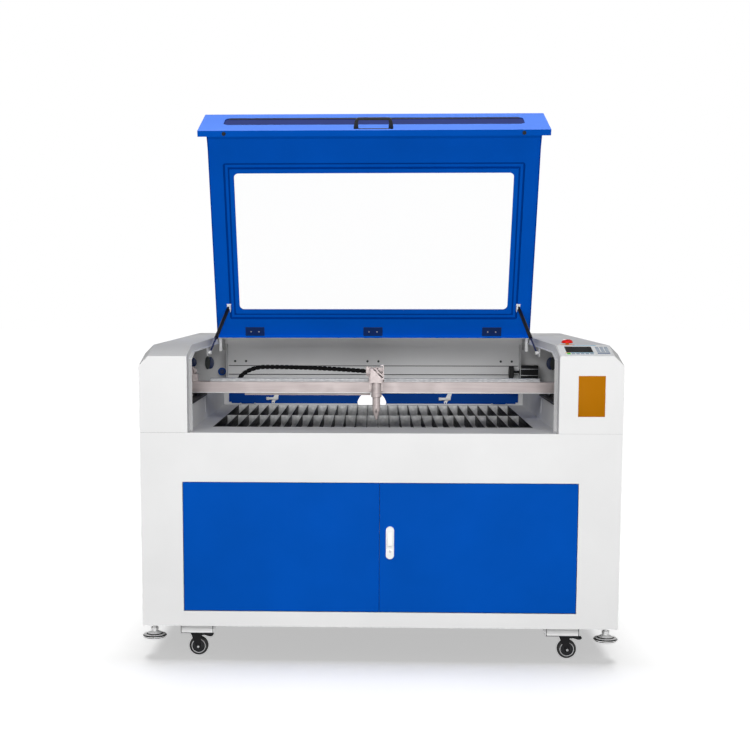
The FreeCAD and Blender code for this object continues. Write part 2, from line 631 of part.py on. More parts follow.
# ---- gantry ------------------------------------------------------------------
def x_beam():
    body = rounded("x", BEAM_Y0, BEAM_Y1, BEAM_Z, BEAM_Z1, BEAM_X0, BEAM_X1, 2.0)
    groove = box(BEAM_X0 - 1, BEAM_X1 + 1, BEAM_Y1 - 6, BEAM_Y1 + 1, BEAM_Z + 18, BEAM_Z + 28)
    bore = box(BEAM_X0 - 1, BEAM_X1 + 1, BEAM_Y0 + 4, BEAM_Y1 - 10, BEAM_Z + 5, BEAM_Z1 - 6)
    body = body.cut(groove).cut(bore)
    tray = box(CHAIN_X1, CHAIN_FIX, BEAM_Y1 - 2, CHAIN_Y1 + 1, CHAIN_Z0 - 9.5, CHAIN_Z0 - 7.3)
    tray = fuse(tray, box(CHAIN_X1, CHAIN_FIX, BEAM_Y1 - 2, BEAM_Y1, CHAIN_Z0 - 20, CHAIN_Z0 - 9.5))
    return fuse(body, tray)


def x_rail():
    yc = BEAM_Y0 + 22.0
    h = XRAIL_W / 2
    prof = [(yc - h, BEAM_Z1), (yc + h, BEAM_Z1), (yc + h, BEAM_Z1 + 5), (yc + h - 3, BEAM_Z1 + 7),
            (yc + h - 3, BEAM_Z1 + XRAIL_H - 3), (yc + h, BEAM_Z1 + XRAIL_H - 1), (yc + h, BEAM_Z1 + XRAIL_H),
            (yc - h, BEAM_Z1 + XRAIL_H), (yc - h, BEAM_Z1 + XRAIL_H - 1), (yc - h + 3, BEAM_Z1 + XRAIL_H - 3),
            (yc - h + 3, BEAM_Z1 + 7), (yc - h, BEAM_Z1 + 5)]
    return prism("x", prof, XL + 33, XR - 17)


def beam_ends():
    """Carriages on the y rails under the beam ends, with their belt clamps."""
    out = []
    zr = Z_SHELF + T
    for x, s in ((RAIL_XL, -1), (RAIL_XR, 1)):
        blk = box(x - 16, x + 16, BEAM_Y0 - 16, BEAM_Y1 + 16, zr + 4 + GAP, BEAM_Z)
        slot = prism("y", [(x - RAIL_W / 2 - GAP, zr), (x + RAIL_W / 2 + GAP, zr),
                           (x + RAIL_W / 2 + GAP, zr + RAIL_H + GAP), (x - RAIL_W / 2 - GAP, zr + RAIL_H + GAP)],
                     BEAM_Y0 - 30, BEAM_Y1 + 30)
        pad = box(x - 14, x + 14, BEAM_Y0 - 16, BEAM_Y1 + 16, zr + RAIL_H + GAP, BEAM_Z)
        xc = x + s * BELT_OFF
        arm = box(min(x + s * 14, xc + s * 8), max(x + s * 14, xc + s * 8), BEAM_Y0 - 10, BEAM_Y1 + 10,
                  SHAFT_Z + PULLEY_R + BELT_T + 4, BEAM_Z)
        clamp = box(xc - 8, xc + 8, BEAM_Y0, BEAM_Y1, SHAFT_Z + PULLEY_R + BELT_T + GAP, BEAM_Z - 6)
        out.append(fuse(blk.cut(slot), pad, arm, clamp))
    return out


def mirror_two():
    """Second mirror on the left end of the beam."""
    x0 = XL - 49
    plate = box(x0, x0 + 15, BEAM_Y0 + 8, BEAM_Y0 + 38, BEAM_Z1, BEAM_Z1 + 60)
    block = box(x0 + 11, x0 + 31, BEAM_Y0 + 4, BEAM_Y0 + 40, BEAM_Z1, BEAM_Z1 + 31)
    disc = cyl(12, (x0 + 18, BEAM_Y0 + 20, BEAM_Z1 + 44), (-0.7071, -0.7071, 0), 14)
    knobs = [cyl(3, (x0 + 4, BEAM_Y0 + 7.8, BEAM_Z1 + z), (0, -1, 0), 7) for z in (40, 54)]
    return fuse(plate, block, disc, *knobs)


# cable chain: lower run on the beam, a half turn at the left, upper run back to the head
CHAIN_W = 20.0
CHAIN_H = 14.0
CHAIN_LINK = 20.0
CHAIN_LOW = (34.0, 22.0)    # lower bend, half width and height
CHAIN_BEND = (118.0, 76.0)  # wide upper bend
CHAIN_SAG = 16.0
CHAIN_GAP = 4.0
CHAIN_Y0 = BEAM_Y1 + CHAIN_GAP
CHAIN_Y1 = CHAIN_Y0 + CHAIN_W
CHAIN_RISE = 59.0         # upper run of the chain above the beam
CHAIN_ZU = BEAM_Z1 + CHAIN_RISE
CHAIN_Z0 = CHAIN_ZU - CHAIN_LOW[1] - CHAIN_BEND[1]
CHAIN_TIP = XL + 141.0      # furthest left of the loop
CHAIN_X1 = CHAIN_TIP + CHAIN_LOW[0]
CHAIN_END = NOZ_X - 44.0
CHAIN_FIX = CHAIN_END + 20.0


def chain_points():
    """Link joints at even steps: lower run, tight bend, wide bend, sagging upper run."""
    zm = CHAIN_Z0 + CHAIN_LOW[1]
    path = [(CHAIN_FIX, CHAIN_Z0)]
    for (a, b), lo in ((CHAIN_LOW, -90), (CHAIN_BEND, -180)):
        for k in range(31):
            t = math.radians(lo - 3.0 * k)
            path.append((CHAIN_TIP + a + a * math.cos(t), zm + b * math.sin(t)))
    x0 = path[-1][0]
    for k in range(1, 31):
        path.append((x0 + (CHAIN_END - x0) * k / 30, CHAIN_ZU - CHAIN_SAG * (k / 30) ** 2))
    steps = [math.hypot(q[0] - p[0], q[1] - p[1]) for p, q in zip(path[:-1], path[1:])]
    n = int(sum(steps) / CHAIN_LINK)
    pitch = sum(steps) / n
    out, run = [path[0]], 0.0
    for (p, q), d in zip(zip(path[:-1], path[1:]), steps):
        while len(out) < n and run + d >= len(out) * pitch:
            f = (len(out) * pitch - run) / d
            out.append((p[0] + (q[0] - p[0]) * f, p[1] + (q[1] - p[1]) * f))
        run += d
    return out + [path[-1]]


def drag_chain():
    out = []
    pts = chain_points()
    h = CHAIN_H / 2
    for (xa, za), (xb, zb) in zip(pts[:-1], pts[1:]):
        length = math.hypot(xb - xa, zb - za) - 0.6
        link = box(0.3, length + 0.3, CHAIN_Y0, CHAIN_Y1, -h, h)
        link = link.cut(box(-1, length + 2, CHAIN_Y0 + 2, CHAIN_Y1 - 2, -h + 2, h - 2))
        waist = [box(length - 3.5, length + 0.3, y, y + 1, -h, h) for y in (CHAIN_Y0, CHAIN_Y1 - 1)]
        link = link.cut(Part.makeCompound(waist))
        link.rotate(V(0, 0, 0), V(0, 1, 0), -math.degrees(math.atan2(zb - za, xb - xa)))
        link.translate(V(xa, 0, za))
        out.append(link)
    return out


# ---- head --------------------------------------------------------------------
TUBE_R = 18.5
LOWER_R = 16.0


def head_carriage():
    """Slider over the x rail, front plate, mirror block and upper tube."""
    x, y = NOZ_X, NOZ_Y
    yc = BEAM_Y0 + 22.0
    h = XRAIL_W / 2 + GAP
    z0 = BEAM_Z1 + GAP
    slider = box(x - 32, x + 32, yc - h - 7, yc + h + 7, z0, BEAM_Z1 + XRAIL_H + GAP + 9)
    slider = slider.cut(box(x - 33, x + 33, yc - h, yc + h, z0 - 1, BEAM_Z1 + XRAIL_H + GAP))
    plate = box(x - 30, x + 27, BEAM_Y0 - 9, BEAM_Y0 - 1, BEAM_Z + 10, z0 + 60)
    bridge = box(x - 30, x + 27, BEAM_Y0 - 9, yc - h, z0, BEAM_Z1 + XRAIL_H + 9)
    prof = [(x - 25, BLOCK_Z), (x + 22, BLOCK_Z), (x + 22, BLOCK_Z + 20), (x - 16, BLOCK_Z + 58),
            (x - 25, BLOCK_Z + 58)]
    block = prism("y", prof, y - 22, BEAM_Y0 - 8)
    upper = cyl(TUBE_R, (x, y, BLOCK_Z - 43), (0, 0, 1), 44)
    ring = turned([(0, -17), (TUBE_R + 1, -17), (TUBE_R + 3, -15), (TUBE_R + 3, -2), (TUBE_R + 1, 0), (0, 0)],
                  x, y, BLOCK_Z - 43)
    # arm that carries the end of the cable chain, in front of the chain
    arm = box(CHAIN_END + 1, x - 20, CHAIN_Y0 - 3.5, CHAIN_Y0 - 1.5, BEAM_Z1 + XRAIL_H + 14, CHAIN_ZU + 2)
    top = box(x - 44, x - 20, BEAM_Y0 - 5, CHAIN_Y0 - 1.5, BEAM_Z1 + XRAIL_H + 10, BEAM_Z1 + XRAIL_H + 14)
    hand = box(CHAIN_END + 1, CHAIN_END + 13, CHAIN_Y0 - 3.5, CHAIN_Y0 - GAP, CHAIN_ZU - CHAIN_SAG - 7,
               CHAIN_ZU - CHAIN_SAG + 7)
    body = fuse(slider, plate, bridge, block, upper, ring, arm, top, hand)
    return body.cut(cyl(LOWER_R + FIT, (x, y, BLOCK_Z - 62), (0, 0, 1), 100))


def head_mirror():
    """Tilting mirror plate over the sloped face of the block, with two thumb screws."""
    x, y = NOZ_X, NOZ_Y
    c = 0.70710678
    plate = box(-24, 24, y - 20, y + 22, 6, 10)
    disc = cyl(12, (0, y, 0), (0, 0, 1), 6.5)
    screws = [cyl(4.5, (u, y - 12, 9.8), (0, 0, 1), 9) for u in (-18, 18)]
    ears = [cyl(2.5, (u, y + 12, -0.2), (0, 0, 1), 6.4) for u in (-18, 18)]
    out = fuse(plate, disc, *screws, *ears)
    out.rotate(V(0, 0, 0), V(0, 1, 0), 45)
    mx, mz = x + 3, BLOCK_Z + 39
    out.translate(V(mx + 0.0, 0, mz))
    fin = box(x + 27, x + 31, y - 18, y + 26, BLOCK_Z + 20, BLOCK_Z + 73)
    cap = box(x + 15, x + 31, y - 18, y + 26, BLOCK_Z + 70, BLOCK_Z + 73)
    shelf = box(x + 20, x + 31, y - 18, y + 26, BLOCK_Z + 14, BLOCK_Z + 21)
    shelf = shelf.cut(prism("y", [(x - 60, BLOCK_Z - 1), (x + 22, BLOCK_Z - 1), (x + 22, BLOCK_Z + 20),
                                  (x - 16, BLOCK_Z + 58), (x - 60, BLOCK_Z + 58)], y - 40, y + 60))
    return fuse(out, fin, cap, shelf)


def focus_tube():
    x, y = NOZ_X, NOZ_Y
    z = NOZ_Z
    pts = [(2.0, z), (4.5, z), (LOWER_R - 1, z + 36), (LOWER_R, z + 40), (LOWER_R, BLOCK_Z - 22),
           (LOWER_R - 2.5, BLOCK_Z - 22), (LOWER_R - 2.5, z + 44), (2.0, z + 10)]
    body = turned(pts, x, y)
    slot = rounded("y", x - 3, x + 1.5, z + 30, z + 46, y - 30, y, 2.0)
    return body.cut(slot)


# ---- lid (built shut, then opened) -------------------------------------------
LX0 = XL + LID_CLR
LX1 = XR - LID_CLR


def lid_shell():
    outer = prism("x", nose(0, 0, LID_END, Z_LIP), LX0, LX1)
    inner = prism("x", nose(T, T, LID_END - T, Z_LIP + T), LX0 + T, LX1 - T)
    deep = prism("x", nose(LIP_T, FLANGE, LID_END + 9, Z_LIP - 1), LX0 - 1, LX1 + 1)
    pan = outer.cut(inner).cut(deep)
    # inner lining, standing off the sheet, with a channel round the window
    z = Z_TOP - T
    y0, y1 = WIN_Y, WIN_Y + WIN_L
    x0, x1 = XC - WIN_W / 2, XC + WIN_W / 2
    ya = NOSE_D - PAD_T * NOSE_D / (Z_TOP - Z_NOSE) + 1
    pad = box(LX0 + T / 2, LX1 - T / 2, ya, y1 + 66, z - PAD_T, z)
    b = FRAME_B + CHANNEL_W + T
    solid = rounded("z", x0 - b, x1 + b, y0 - b, y1 + b, z - PAD_T, z, 8)
    pad = pad.cut(box(LX0 + 2 * T, LX1 - 2 * T, NOSE_D + 1, y1 + 80, z - PAD_T + T, z).cut(solid))
    b -= T
    channel = rounded("z", x0 - b, x1 + b, y0 - b, y1 + b, z - PAD_T - 1, z - PAD_T + CHANNEL_D, 10)
    b = FRAME_B
    channel = channel.cut(rounded("z", x0 - b, x1 + b, y0 - b, y1 + b, 0, Z_TOP, 8))
    pocket = box(x0 - 10, x1 + 10, y0 - 10, y1 + 10, z - PANE_T - 2 * PANE_CLR, z)
    out = fuse(pan, pad.cut(channel)).cut(pocket)
    out = out.cut(rounded("z", x0, x1, y0, y1, 0, Z_TOP + 5, WIN_R))
    zs = Z_NOSE - SLOT_DROP
    out = out.cut(rounded("y", XC - SLOT_W / 2, XC + SLOT_W / 2, zs - SLOT_H, zs, -5, T + 1, 28))
    for k in (-1, 0, 1):
        x = XC + k * HINGE_X
        out = out.cut(box(x - HINGE_W / 2 - 1, x + HINGE_W / 2 + 1, LID_END - T - 1, LID_END + 1,
                          Z_TOP - 9, Z_TOP - T))
    return out


def lid_panes():
    z = Z_TOP - T
    x0, x1 = XC - WIN_W / 2 - 8, XC + WIN_W / 2 + 8
    main = box(x0, x1, WIN_Y - 8, WIN_Y + WIN_L + 8, z - PANE_T - PANE_CLR, z - PANE_CLR)
    zs = Z_NOSE - SLOT_DROP
    lip = rounded("y", XC - SLOT_W / 2 - 12, XC + SLOT_W / 2 + 12, zs - SLOT_H - 12, zs + 12,
                  T + PANE_CLR, T + 3, 30)
    return main, lip


def lid_pull():
    z = Z_LIP + PULL_UP
    x0, x1 = XC - PULL_W / 2, XC + PULL_W / 2
    out = []
    for x in (x0, x1 - 16):
        out.append(box(x, x + 16, -PULL_OUT + 4, 0, z - 7, z + 7))
    bar = rounded("x", -PULL_OUT, -PULL_OUT + 12, z - 7, z + 7, x0, x1, 3)
    return fuse(bar, *out)


def lid_bumpers():
    out = []
    for s in (-1, 1):
        out.append(turned([(0, 0.3), (7, 0.3), (8, 2), (8, LIP_FOOT), (0, LIP_FOOT)],
                          XC + s * 602, LIP_T / 2, Z_SEAM))
    return out


def knuckle(x, w):
    return cyl(HINGE_R, (x, Y_HINGE, Z_HINGE), (1, 0, 0), w)


def hinge_lid_leaves():
    out = []
    for k in (-1, 0, 1):
        x = XC + k * HINGE_X
        h = HINGE_W / 2
        leaf = box(x - h, x + h, LID_END - 42, Y_HINGE - 2, Z_TOP - 2 * T - 0.5, Z_TOP - T)
        leaf = leaf.cut(box(x - h / 2 - 0.5, x + h / 2 + 0.5, LID_END + 0.5, Y_HINGE, 0, 2000))
        leaf = leaf.cut(box(x - h - 1, x + h + 1, Y_HINGE - HINGE_R, Y_HINGE + 9, 0, 2000))
        tongues = [box(a, b, LID_END - 2, Y_HINGE - 3, Z_TOP - 2 * T - 0.5, Z_TOP - T)
                   for a, b in ((x - h, x - h / 2 - 0.5), (x + h / 2 + 0.5, x + h))]
        rings = [knuckle(x - h, h / 2 - 0.5), knuckle(x + h / 2 + 0.5, h / 2 - 0.5)]
        one = fuse(leaf, *tongues, *rings)
        out.append(one.cut(cyl(2.5 + FIT, (x - h - 1, Y_HINGE, Z_HINGE), (1, 0, 0), HINGE_W + 2)))
    return out


def hinge_deck_leaves():
    out = []
    for k in (-1, 0, 1):
        x = XC + k * HINGE_X
        h = HINGE_W / 2
        leaf = box(x - h, x + h, DECK_Y + 2, DECK_Y + 34, Z_TOP, Z_TOP + T)
        tab = box(x - h / 2 + 0.5, x + h / 2 - 0.5, Y_HINGE + 3.2, DECK_Y + 3, Z_TOP, Z_TOP + T)
        ring = knuckle(x - h / 2 + 0.5, h - 1)
        pin = cyl(2.5, (x - h, Y_HINGE, Z_HINGE), (1, 0, 0), HINGE_W)
        out.append(fuse(leaf, tab, ring, pin))
    return out


# ---- gas struts --------------------------------------------------------------
STUD_BACK = 150.0   # lid stud in front of the hinge line with the lid shut
STUD_DROP = 30.0    # below the hinge line
STUD_X = 57.0       # inside the bay wall line
BALL_Y = 565.0      # cabinet end
BALL_DROP = 50.0
BALL_X = 20.0
BALL_R = 5.0
BALL_FIT = 0.2
STRUT_R = 8.0
ROD_R = 4.0


def strut_geometry(side):
    """Cabinet ball, lid stud with the lid open and with it shut; side -1 is left."""
    x = XL if side < 0 else XR
    b = V(x - side * BALL_X, BALL_Y, Z_HINGE - BALL_DROP)
    c = V(x - side * (STUD_X + 1), Y_HINGE - STUD_BACK, Z_HINGE - STUD_DROP)
    a = math.radians(-OPEN)
    dy, dz = c.y - Y_HINGE, c.z - Z_HINGE
    o = V(c.x, Y_HINGE + dy * math.cos(a) - dz * math.sin(a), Z_HINGE + dy * math.sin(a) + dz * math.cos(a))
    return b, o, c


def strut(side):
    """Rod on the cabinet ball and cylinder at the lid, along the open line."""
    b, o, c = strut_geometry(side)
    u = (o - b).normalize()
    full = (o - b).Length
    shut = (c - b).Length
    n = u.cross(c - b).normalize()
    socket = cyl(BALL_R + 2.5, b - n * 6.5, n, 13)
    rod = fuse(socket, cyl(ROD_R, b + u * BALL_R, u, full - 132.0 - BALL_R))
    rod = rod.cut(Part.makeSphere(BALL_R + BALL_FIT, b))
    rod = rod.cut(cyl(BALL_R - 0.8, b, n * (side if n.x > 0 else -side), 20))
    body_len = shut - 36.0
    start = full - 12.0 - body_len
    body = cyl(STRUT_R, b + u * start, u, body_len)
    body = body.cut(cyl(ROD_R + FIT, b + u * (start - 1), u, body_len - 4))
    neck = cyl(ROD_R + 0.5, b + u * (full - 13.0), u, 10.0)
    eye = cyl(STRUT_R, (o.x + side * 4.5, o.y, o.z), (-side, 0, 0), 8)
    return rod, fuse(body, neck, eye)


def strut_bracket(side):
    """Plate hung from the rebate ledge with the ball stud of the cabinet end."""
    b, o, c = strut_geometry(side)
    xe = (XL if side < 0 else XR) - side * RB_W
    z1 = Z_TOP - RB_T
    plate = box(min(xe, xe + side * T), max(xe, xe + side * T), b.y - 30, b.y + 30, b.z - 14, z1)
    inner = xe + side * (RB_W - 1)
    tab = box(min(xe, inner), max(xe, inner), b.y - 30, b.y + 30, z1 - T, z1)
    pin = cyl(3.0, (xe, b.y, b.z), (-side, 0, 0), abs(b.x - xe))
    return fuse(plate, tab, pin, Part.makeSphere(BALL_R, b))


def lid_stud(side):
    """Bracket on the lid lining whose stud faces the eye of the cylinder, built shut."""
    b, o, c = strut_geometry(side)
    z = Z_TOP - T - PAD_T
    xs = [c.x - side * 9, c.x - side * 11, c.x + side * 8]
    plate = box(min(xs[:2]), max(xs[:2]), c.y - 14, c.y + 14, c.z - 9, z)
    pad = box(min(xs[1:]), max(xs[1:]), c.y - 14, c.y + 14, z - T, z)
    pin = cyl(4.0, (xs[0], c.y, c.z), (side, 0, 0), 3)
    return fuse(plate, pad, pin)


# ---- doors -------------------------------------------------------------------
def door(side):
    """One pan-formed door; side -1 is the left one."""
    zd = Z_BASE + DOOR_Z
    z0, z1 = zd + DOOR_CLR, zd + DOOR_H - DOOR_CLR
    xo = side * (DOOR_W / 2 - DOOR_CLR)
    xm = side * 1.0
    a, b = min(xo, xm), max(xo, xm)
    pan = box(a, b, 0, DOOR_T, z0, z1)
    pan = pan.makeChamfer(0.8, [e for e in pan.Edges if e.BoundBox.YMax < 0.01])
    pan = pan.cut(box(a + 1.5, b - 1.5, 1.5, DOOR_T + 1, z0 + 1.5, z1 - 1.5))
    ret = box(a, b, DOOR_T - 1.5, DOOR_T, z0, z1).cut(box(a + 14, b - 14, 0, 99, z0 + 14, z1 - 14))
    ribs = [box(a + 1, b - 1, 1.5, 12, z, z + 1.5) for z in (z0 + (z1 - z0) / 3, z0 + 2 * (z1 - z0) / 3)]
    xp = side * (DOOR_W / 2 - DOOR_CLR - PIN_IN)
    lugs = [box(xp - 6, xp + 6, 1, 14, z, z + 10) for z in (z0 + 1, z1 - 11)]
    lugs = [lug.common(box(a, b, 0, DOOR_T, z0, z1)) for lug in lugs]
    out = fuse(pan, ret, *ribs, *lugs)
    holes = [cyl(PIN_R + FIT, (xp, PIN_IN, z), (0, 0, 1), 14) for z in (z0 - 1, z1 - 13)]
    if side > 0:
        holes.append(cyl(6 + FIT, (LOCK_X, -1, Z_BASE + LOCK_Z - 32), (0, 1, 0), 5))
    return out.cut(Part.makeCompound(holes))


def door_pins():
    """Pivot pins held by blocks on the frame above and below each door."""
    zd = Z_BASE + DOOR_Z
    out = []
    for side in (-1, 1):
        x = side * (DOOR_W / 2 - DOOR_CLR - PIN_IN)
        for z, up in ((zd, -1), (zd + DOOR_H, 1)):
            pin = cyl(PIN_R, (x, PIN_IN, z - 10), (0, 0, 1), 20)
            z0 = z + up * T
            nut = box(x - 5, x + 5, T + 0.2, PIN_IN + 6, min(z0, z0 + up * 6), max(z0, z0 + up * 6))
            out.append(fuse(pin, nut))
    return out


LOCK_X = 41.0
LOCK_Z = 336.0      # middle of the lock above the cabinet underside
LOCK_W = 32.0
LOCK_H = 128.0


def lock_body():
    """Oval lock plate with a finger dish behind the paddle."""
    z = Z_BASE + LOCK_Z
    x0, x1 = LOCK_X - LOCK_W / 2, LOCK_X + LOCK_W / 2
    plate = rounded("y", x0, x1, z - LOCK_H / 2, z + LOCK_H / 2, -9, 0, LOCK_W / 2 - 0.5)
    rim = [e for e in plate.Edges if e.BoundBox.YMax < -8.9]
    plate = plate.makeFillet(3.0, rim)
    dish = rounded("y", LOCK_X - 10.5, LOCK_X + 10.5, z - 12, z + 50, -20, -3, 8)
    barrel = cyl(7, (LOCK_X, -9, z - 32), (0, -1, 0), 2.0)
    stem = cyl(6, (LOCK_X, -1, z - 32), (0, 1, 0), 27)
    bolt = box(LOCK_X - 58, LOCK_X + 8, 19.5 + T, 23.5 + T, z - 38, z - 26)
    ear = [box(LOCK_X - 10.5, LOCK_X + 10.5, -9, -3, z + 44, z + 50).common(dish)]
    out = fuse(plate.cut(dish), barrel, stem, *ear)
    return out.cut(cyl(1.5 + FIT, (LOCK_X - 12, -6, z + 41), (1, 0, 0), 24))


def lock_paddle():
    """Lift-out paddle hinged at the top of the dish."""
    z = Z_BASE + LOCK_Z
    pts = [(-7.6, z + 42.8), (-4.6, z + 42.8), (-3.9, z + 39), (-3.9, z + 36), (-5.5, z + 30), (-12, z - 4), (-16, z - 9),
           (-LOCK_OUT, z - 9), (-LOCK_OUT, z - 4), (-14, z + 8), (-9.5, z + 34)]
    body = prism("x", pts, LOCK_X - 9.5, LOCK_X + 9.5)
    pin = cyl(1.5, (LOCK_X - 11.8, -6, z + 41), (1, 0, 0), 23.6)
    return fuse(body, pin)


# ---- rear flap ---------------------------------------------------------------
FLAP_Z0 = 5.0       # above the bay floor
FLAP_H = 52.0
FLAP_IN = 24.0      # inside the bay walls


def rear_flap():
    """Drop-down flap over the pass-through slot, cut round the exhaust hole."""
    y1 = Y_WALL - GAP
    z0 = Z_SEAM + FLAP_Z0
    x0, x1 = XL + FLAP_IN, XR - FLAP_IN + 2
    zb = FLAP_PIN_Z - 1.0
    pts = [(x0 + 12, zb), (x1 - 12, zb), (x1 - 12, z0 + 8), (x1, z0 + 8), (x1, z0 + FLAP_H), (x0, z0 + FLAP_H),
           (x0, z0 + 8), (x0 + 12, z0 + 8)]
    flap = prism("y", pts, y1 - T, y1)
    hem = box(x0, x1, y1 - 8, y1, z0 + FLAP_H - T, z0 + FLAP_H)
    out = fuse(flap, hem).cut(cyl(EX_R, (EXX, Y_WALL - 30, EX_Z), (0, 1, 0), 60))
    for x in (x0 + 60, x1 - 120):
        sleeve = tube(2.6, 1.2 + FIT, (x, FLAP_PIN_Y, FLAP_PIN_Z), (1, 0, 0), 60)
        tie = box(x, x + 60, FLAP_PIN_Y, y1 - 0.5, FLAP_PIN_Z + 1.4, FLAP_PIN_Z + 2.6)
        out = fuse(out, sleeve, tie)
    for s in (-1, 1):
        x = latch_x(s)
        out = out.cut(cyl(5 + FIT, (x, Y_WALL - 30, LATCH_Z), (0, 1, 0), 60))
        out = out.cut(box(x - 42, x + 42, y1 - 9, y1 - T, z0 + FLAP_H - T - 1, z0 + FLAP_H + 1))
    return out


FLAP_PIN_Y = Y_WALL - GAP - 4.6
FLAP_PIN_Z = Z_SEAM + FLAP_Z0 + 2.6
LATCH_Z = Z_SEAM + 32.0


LATCH_L = 243.0      # latches in from the bay walls
LATCH_R = 358.0


def latch_x(s):
    return XL + LATCH_L if s < 0 else XR - LATCH_R


def flap_pins():
    """Hinge pins of the flap on feet standing on the bay floor."""
    out = []
    x0, x1 = XL + FLAP_IN, XR - FLAP_IN + 2
    for x in (x0 + 60, x1 - 120):
        pin = cyl(1.2, (x - 7, FLAP_PIN_Y, FLAP_PIN_Z), (1, 0, 0), 74)
        feet = [box(a, a + 5, FLAP_PIN_Y - 4, FLAP_PIN_Y + 1.8, Z_SEAM, FLAP_PIN_Z + 1.0) for a in (x - 7, x + 62)]
        out.append(fuse(pin, *feet))
    return out


def flap_latch(s):
    """Turn latch of the flap: strap and lever in front, tongue behind the wall.

    The tongue lies along the slot as drawn, so the flap is free to drop."""
    x = latch_x(s)
    y = Y_WALL - GAP - T - GAP
    c, r = 0.94, 9.0
    outline = [(x + 5, LATCH_Z + 27), (x + 25, LATCH_Z + 27), (x + 17, LATCH_Z + 8), (x + 17, LATCH_Z - 6),
               (x + 3, LATCH_Z - 12), (x - 3, LATCH_Z - 27), (x - 13, LATCH_Z - 28), (x - 15, LATCH_Z - 18),
               (x - 6, LATCH_Z + 4)]
    strap = prism("y", outline, y - 3, y).cut(cyl(3, (x - 8, y - 5, LATCH_Z - 22), (0, 1, 0), 9))
    lever = cyl(6.0, (x - 39, y - 8, LATCH_Z - 2), (1, 0, 0), 54)
    lever = fuse(lever, cyl(7.5, (x - 39, y - 8, LATCH_Z - 2), (1, 0, 0), 12))
    boss = cyl(8, (x, y - 6, LATCH_Z), (0, 1, 0), 6)
    stem = cyl(5, (x, y - 1, LATCH_Z), (0, 1, 0), 12)
    tongue = rounded("y", x - 24, x + 6, LATCH_Z - 6, LATCH_Z + 6, y + 6.5, y + 9.5, 3)
    return fuse(strap, lever, boss, stem, tongue)


# ---- controls ----------------------------------------------------------------
def control_panel():
    x0 = XR + 5
    x1 = W / 2 - CUT - 1
    s1 = math.hypot(NOSE_D, Z_TOP - Z_NOSE) - 3
    plate = rounded("z", x0, x1, 4, s1, Z_NOSE, Z_NOSE + 1.6, 3)
    screen = box(x0 + 26, x0 + 128, 52, 124, Z_NOSE + 1.6, Z_NOSE + 2.4)
    keys = []
    for i in range(3):
        for j in range(4):
            x = x0 + 143 + 17 * i
            y = 56 + 17.5 * j
            keys.append(box(x, x + 13, y, y + 12.5, Z_NOSE + 1.6, Z_NOSE + 2.6))
    keys.append(box(x0 + 143, x0 + 190, 34, 48, Z_NOSE + 1.6, Z_NOSE + 2.6))
    for i in range(6):
        x = x0 + 26 + 17.5 * i
        keys.append(box(x, x + 13, 28, 42, Z_NOSE + 1.6, Z_NOSE + 2.6))
    return on_slope(fuse(plate, screen, *keys))


ESTOP_X = XR + 51.0
ESTOP_Y = NOSE_D + 35.0


def estop_base():
    ring = turned([(9, 0), (30, 0), (30, 1.5), (20, 2), (15.5, 4), (15.5, 12), (9, 12)], ESTOP_X, ESTOP_Y, Z_TOP)
    return ring


def estop_button():
    pts = [(0, -18), (8.5, -18), (8.5, 17), (20, 19), (21, 22), (20.5, 27), (14, 31), (0, 32)]
    return turned(pts, ESTOP_X, ESTOP_Y, Z_TOP)


# ---- write every piece -------------------------------------------------------
save("base_cabinet", base_cabinet())
save("castor_boxes", *castor_boxes())
for tag, sx, yy in (("fl", -1, CAST_Y), ("fr", 1, CAST_Y), ("bl", -1, D - CAST_Y), ("br", 1, D - CAST_Y)):
    fork_, wheel_ = castor(sx * (W / 2 - CAST_IN), yy, tag[0] == "f")
    save("castor_fork_" + tag, fork_)
    save("castor_wheel_" + tag, wheel_)
    if tag[0] == "f":
        save("brake_pedal_" + tag, pedal(sx * (W / 2 - CAST_IN), yy))
    fy = FOOT_Y if tag[0] == "f" else D - FOOT_Y
    save("levelling_foot_" + tag, foot(sx * (W / 2 - FOOT_IN), fy))
save("cover_left", cover(-W / 2, XL))
right = cover(W / 2, XR)
save("cover_right", right.cut(cyl(11, (ESTOP_X, ESTOP_Y, Z_TOP - 5), (0, 0, 1), 10)))
side_l = bay_side()
save("bay_walls", bay_liner(), side_l, across(side_l))
save("rear_wall", *rear_wall())
save("rear_deck", rear_deck())
save("back_panel", back_panel())
save("exhaust_duct", exhaust_duct())
save("chip_funnel", chip_funnel())
save("bed_frame", bed_frame())
save("knife_blades", *knife_blades())
save("y_rails", *y_rails())
save("drive_belts", *y_belts())
save("cross_shaft", cross_shaft())
bl_, il_ = front_idler(RAIL_XL, -1)
br_, ir_ = front_idler(RAIL_XR, 1)
save("idler_pulleys", il_, ir_)
save("y_motor", y_motor())
save("motor_pulley", motor_pulley())
save("x_beam", x_beam())
save("x_rail", x_rail())
save("beam_ends", *beam_ends())
save("mirror_two", mirror_two())
save("cable_chain", *drag_chain())
save("head_carriage", head_carriage())
save("head_mirror", head_mirror())
save("focus_tube", focus_tube())
save("lid_shell", opened(lid_shell()))
save("lid_panes", *[opened(p) for p in lid_panes()])
save("lid_fittings", opened(lid_pull()), *[opened(p) for p in lid_bumpers()])
studs = [lid_stud(-1), lid_stud(1)]
save("lid_hinges", *[opened(p) for p in hinge_lid_leaves() + studs])
save("deck_hinges", *hinge_deck_leaves())
for tag, side in (("l", -1), ("r", 1)):
    rod_, body_ = strut(side)
    save("strut_rod_" + tag, rod_)
    save("strut_body_" + tag, body_)
save("bay_brackets", bl_, br_, strut_bracket(-1), strut_bracket(1))
save("door_left", door(-1))
save("door_right", door(1))
save("pins_and_nuts", *door_pins(), *flap_pins(), *foot_nuts())
save("door_lock", lock_body())
save("lock_paddle", lock_paddle())
save("rear_flap", rear_flap())
save("flap_latch_l", flap_latch(-1))
save("flap_latch_r", flap_latch(1))
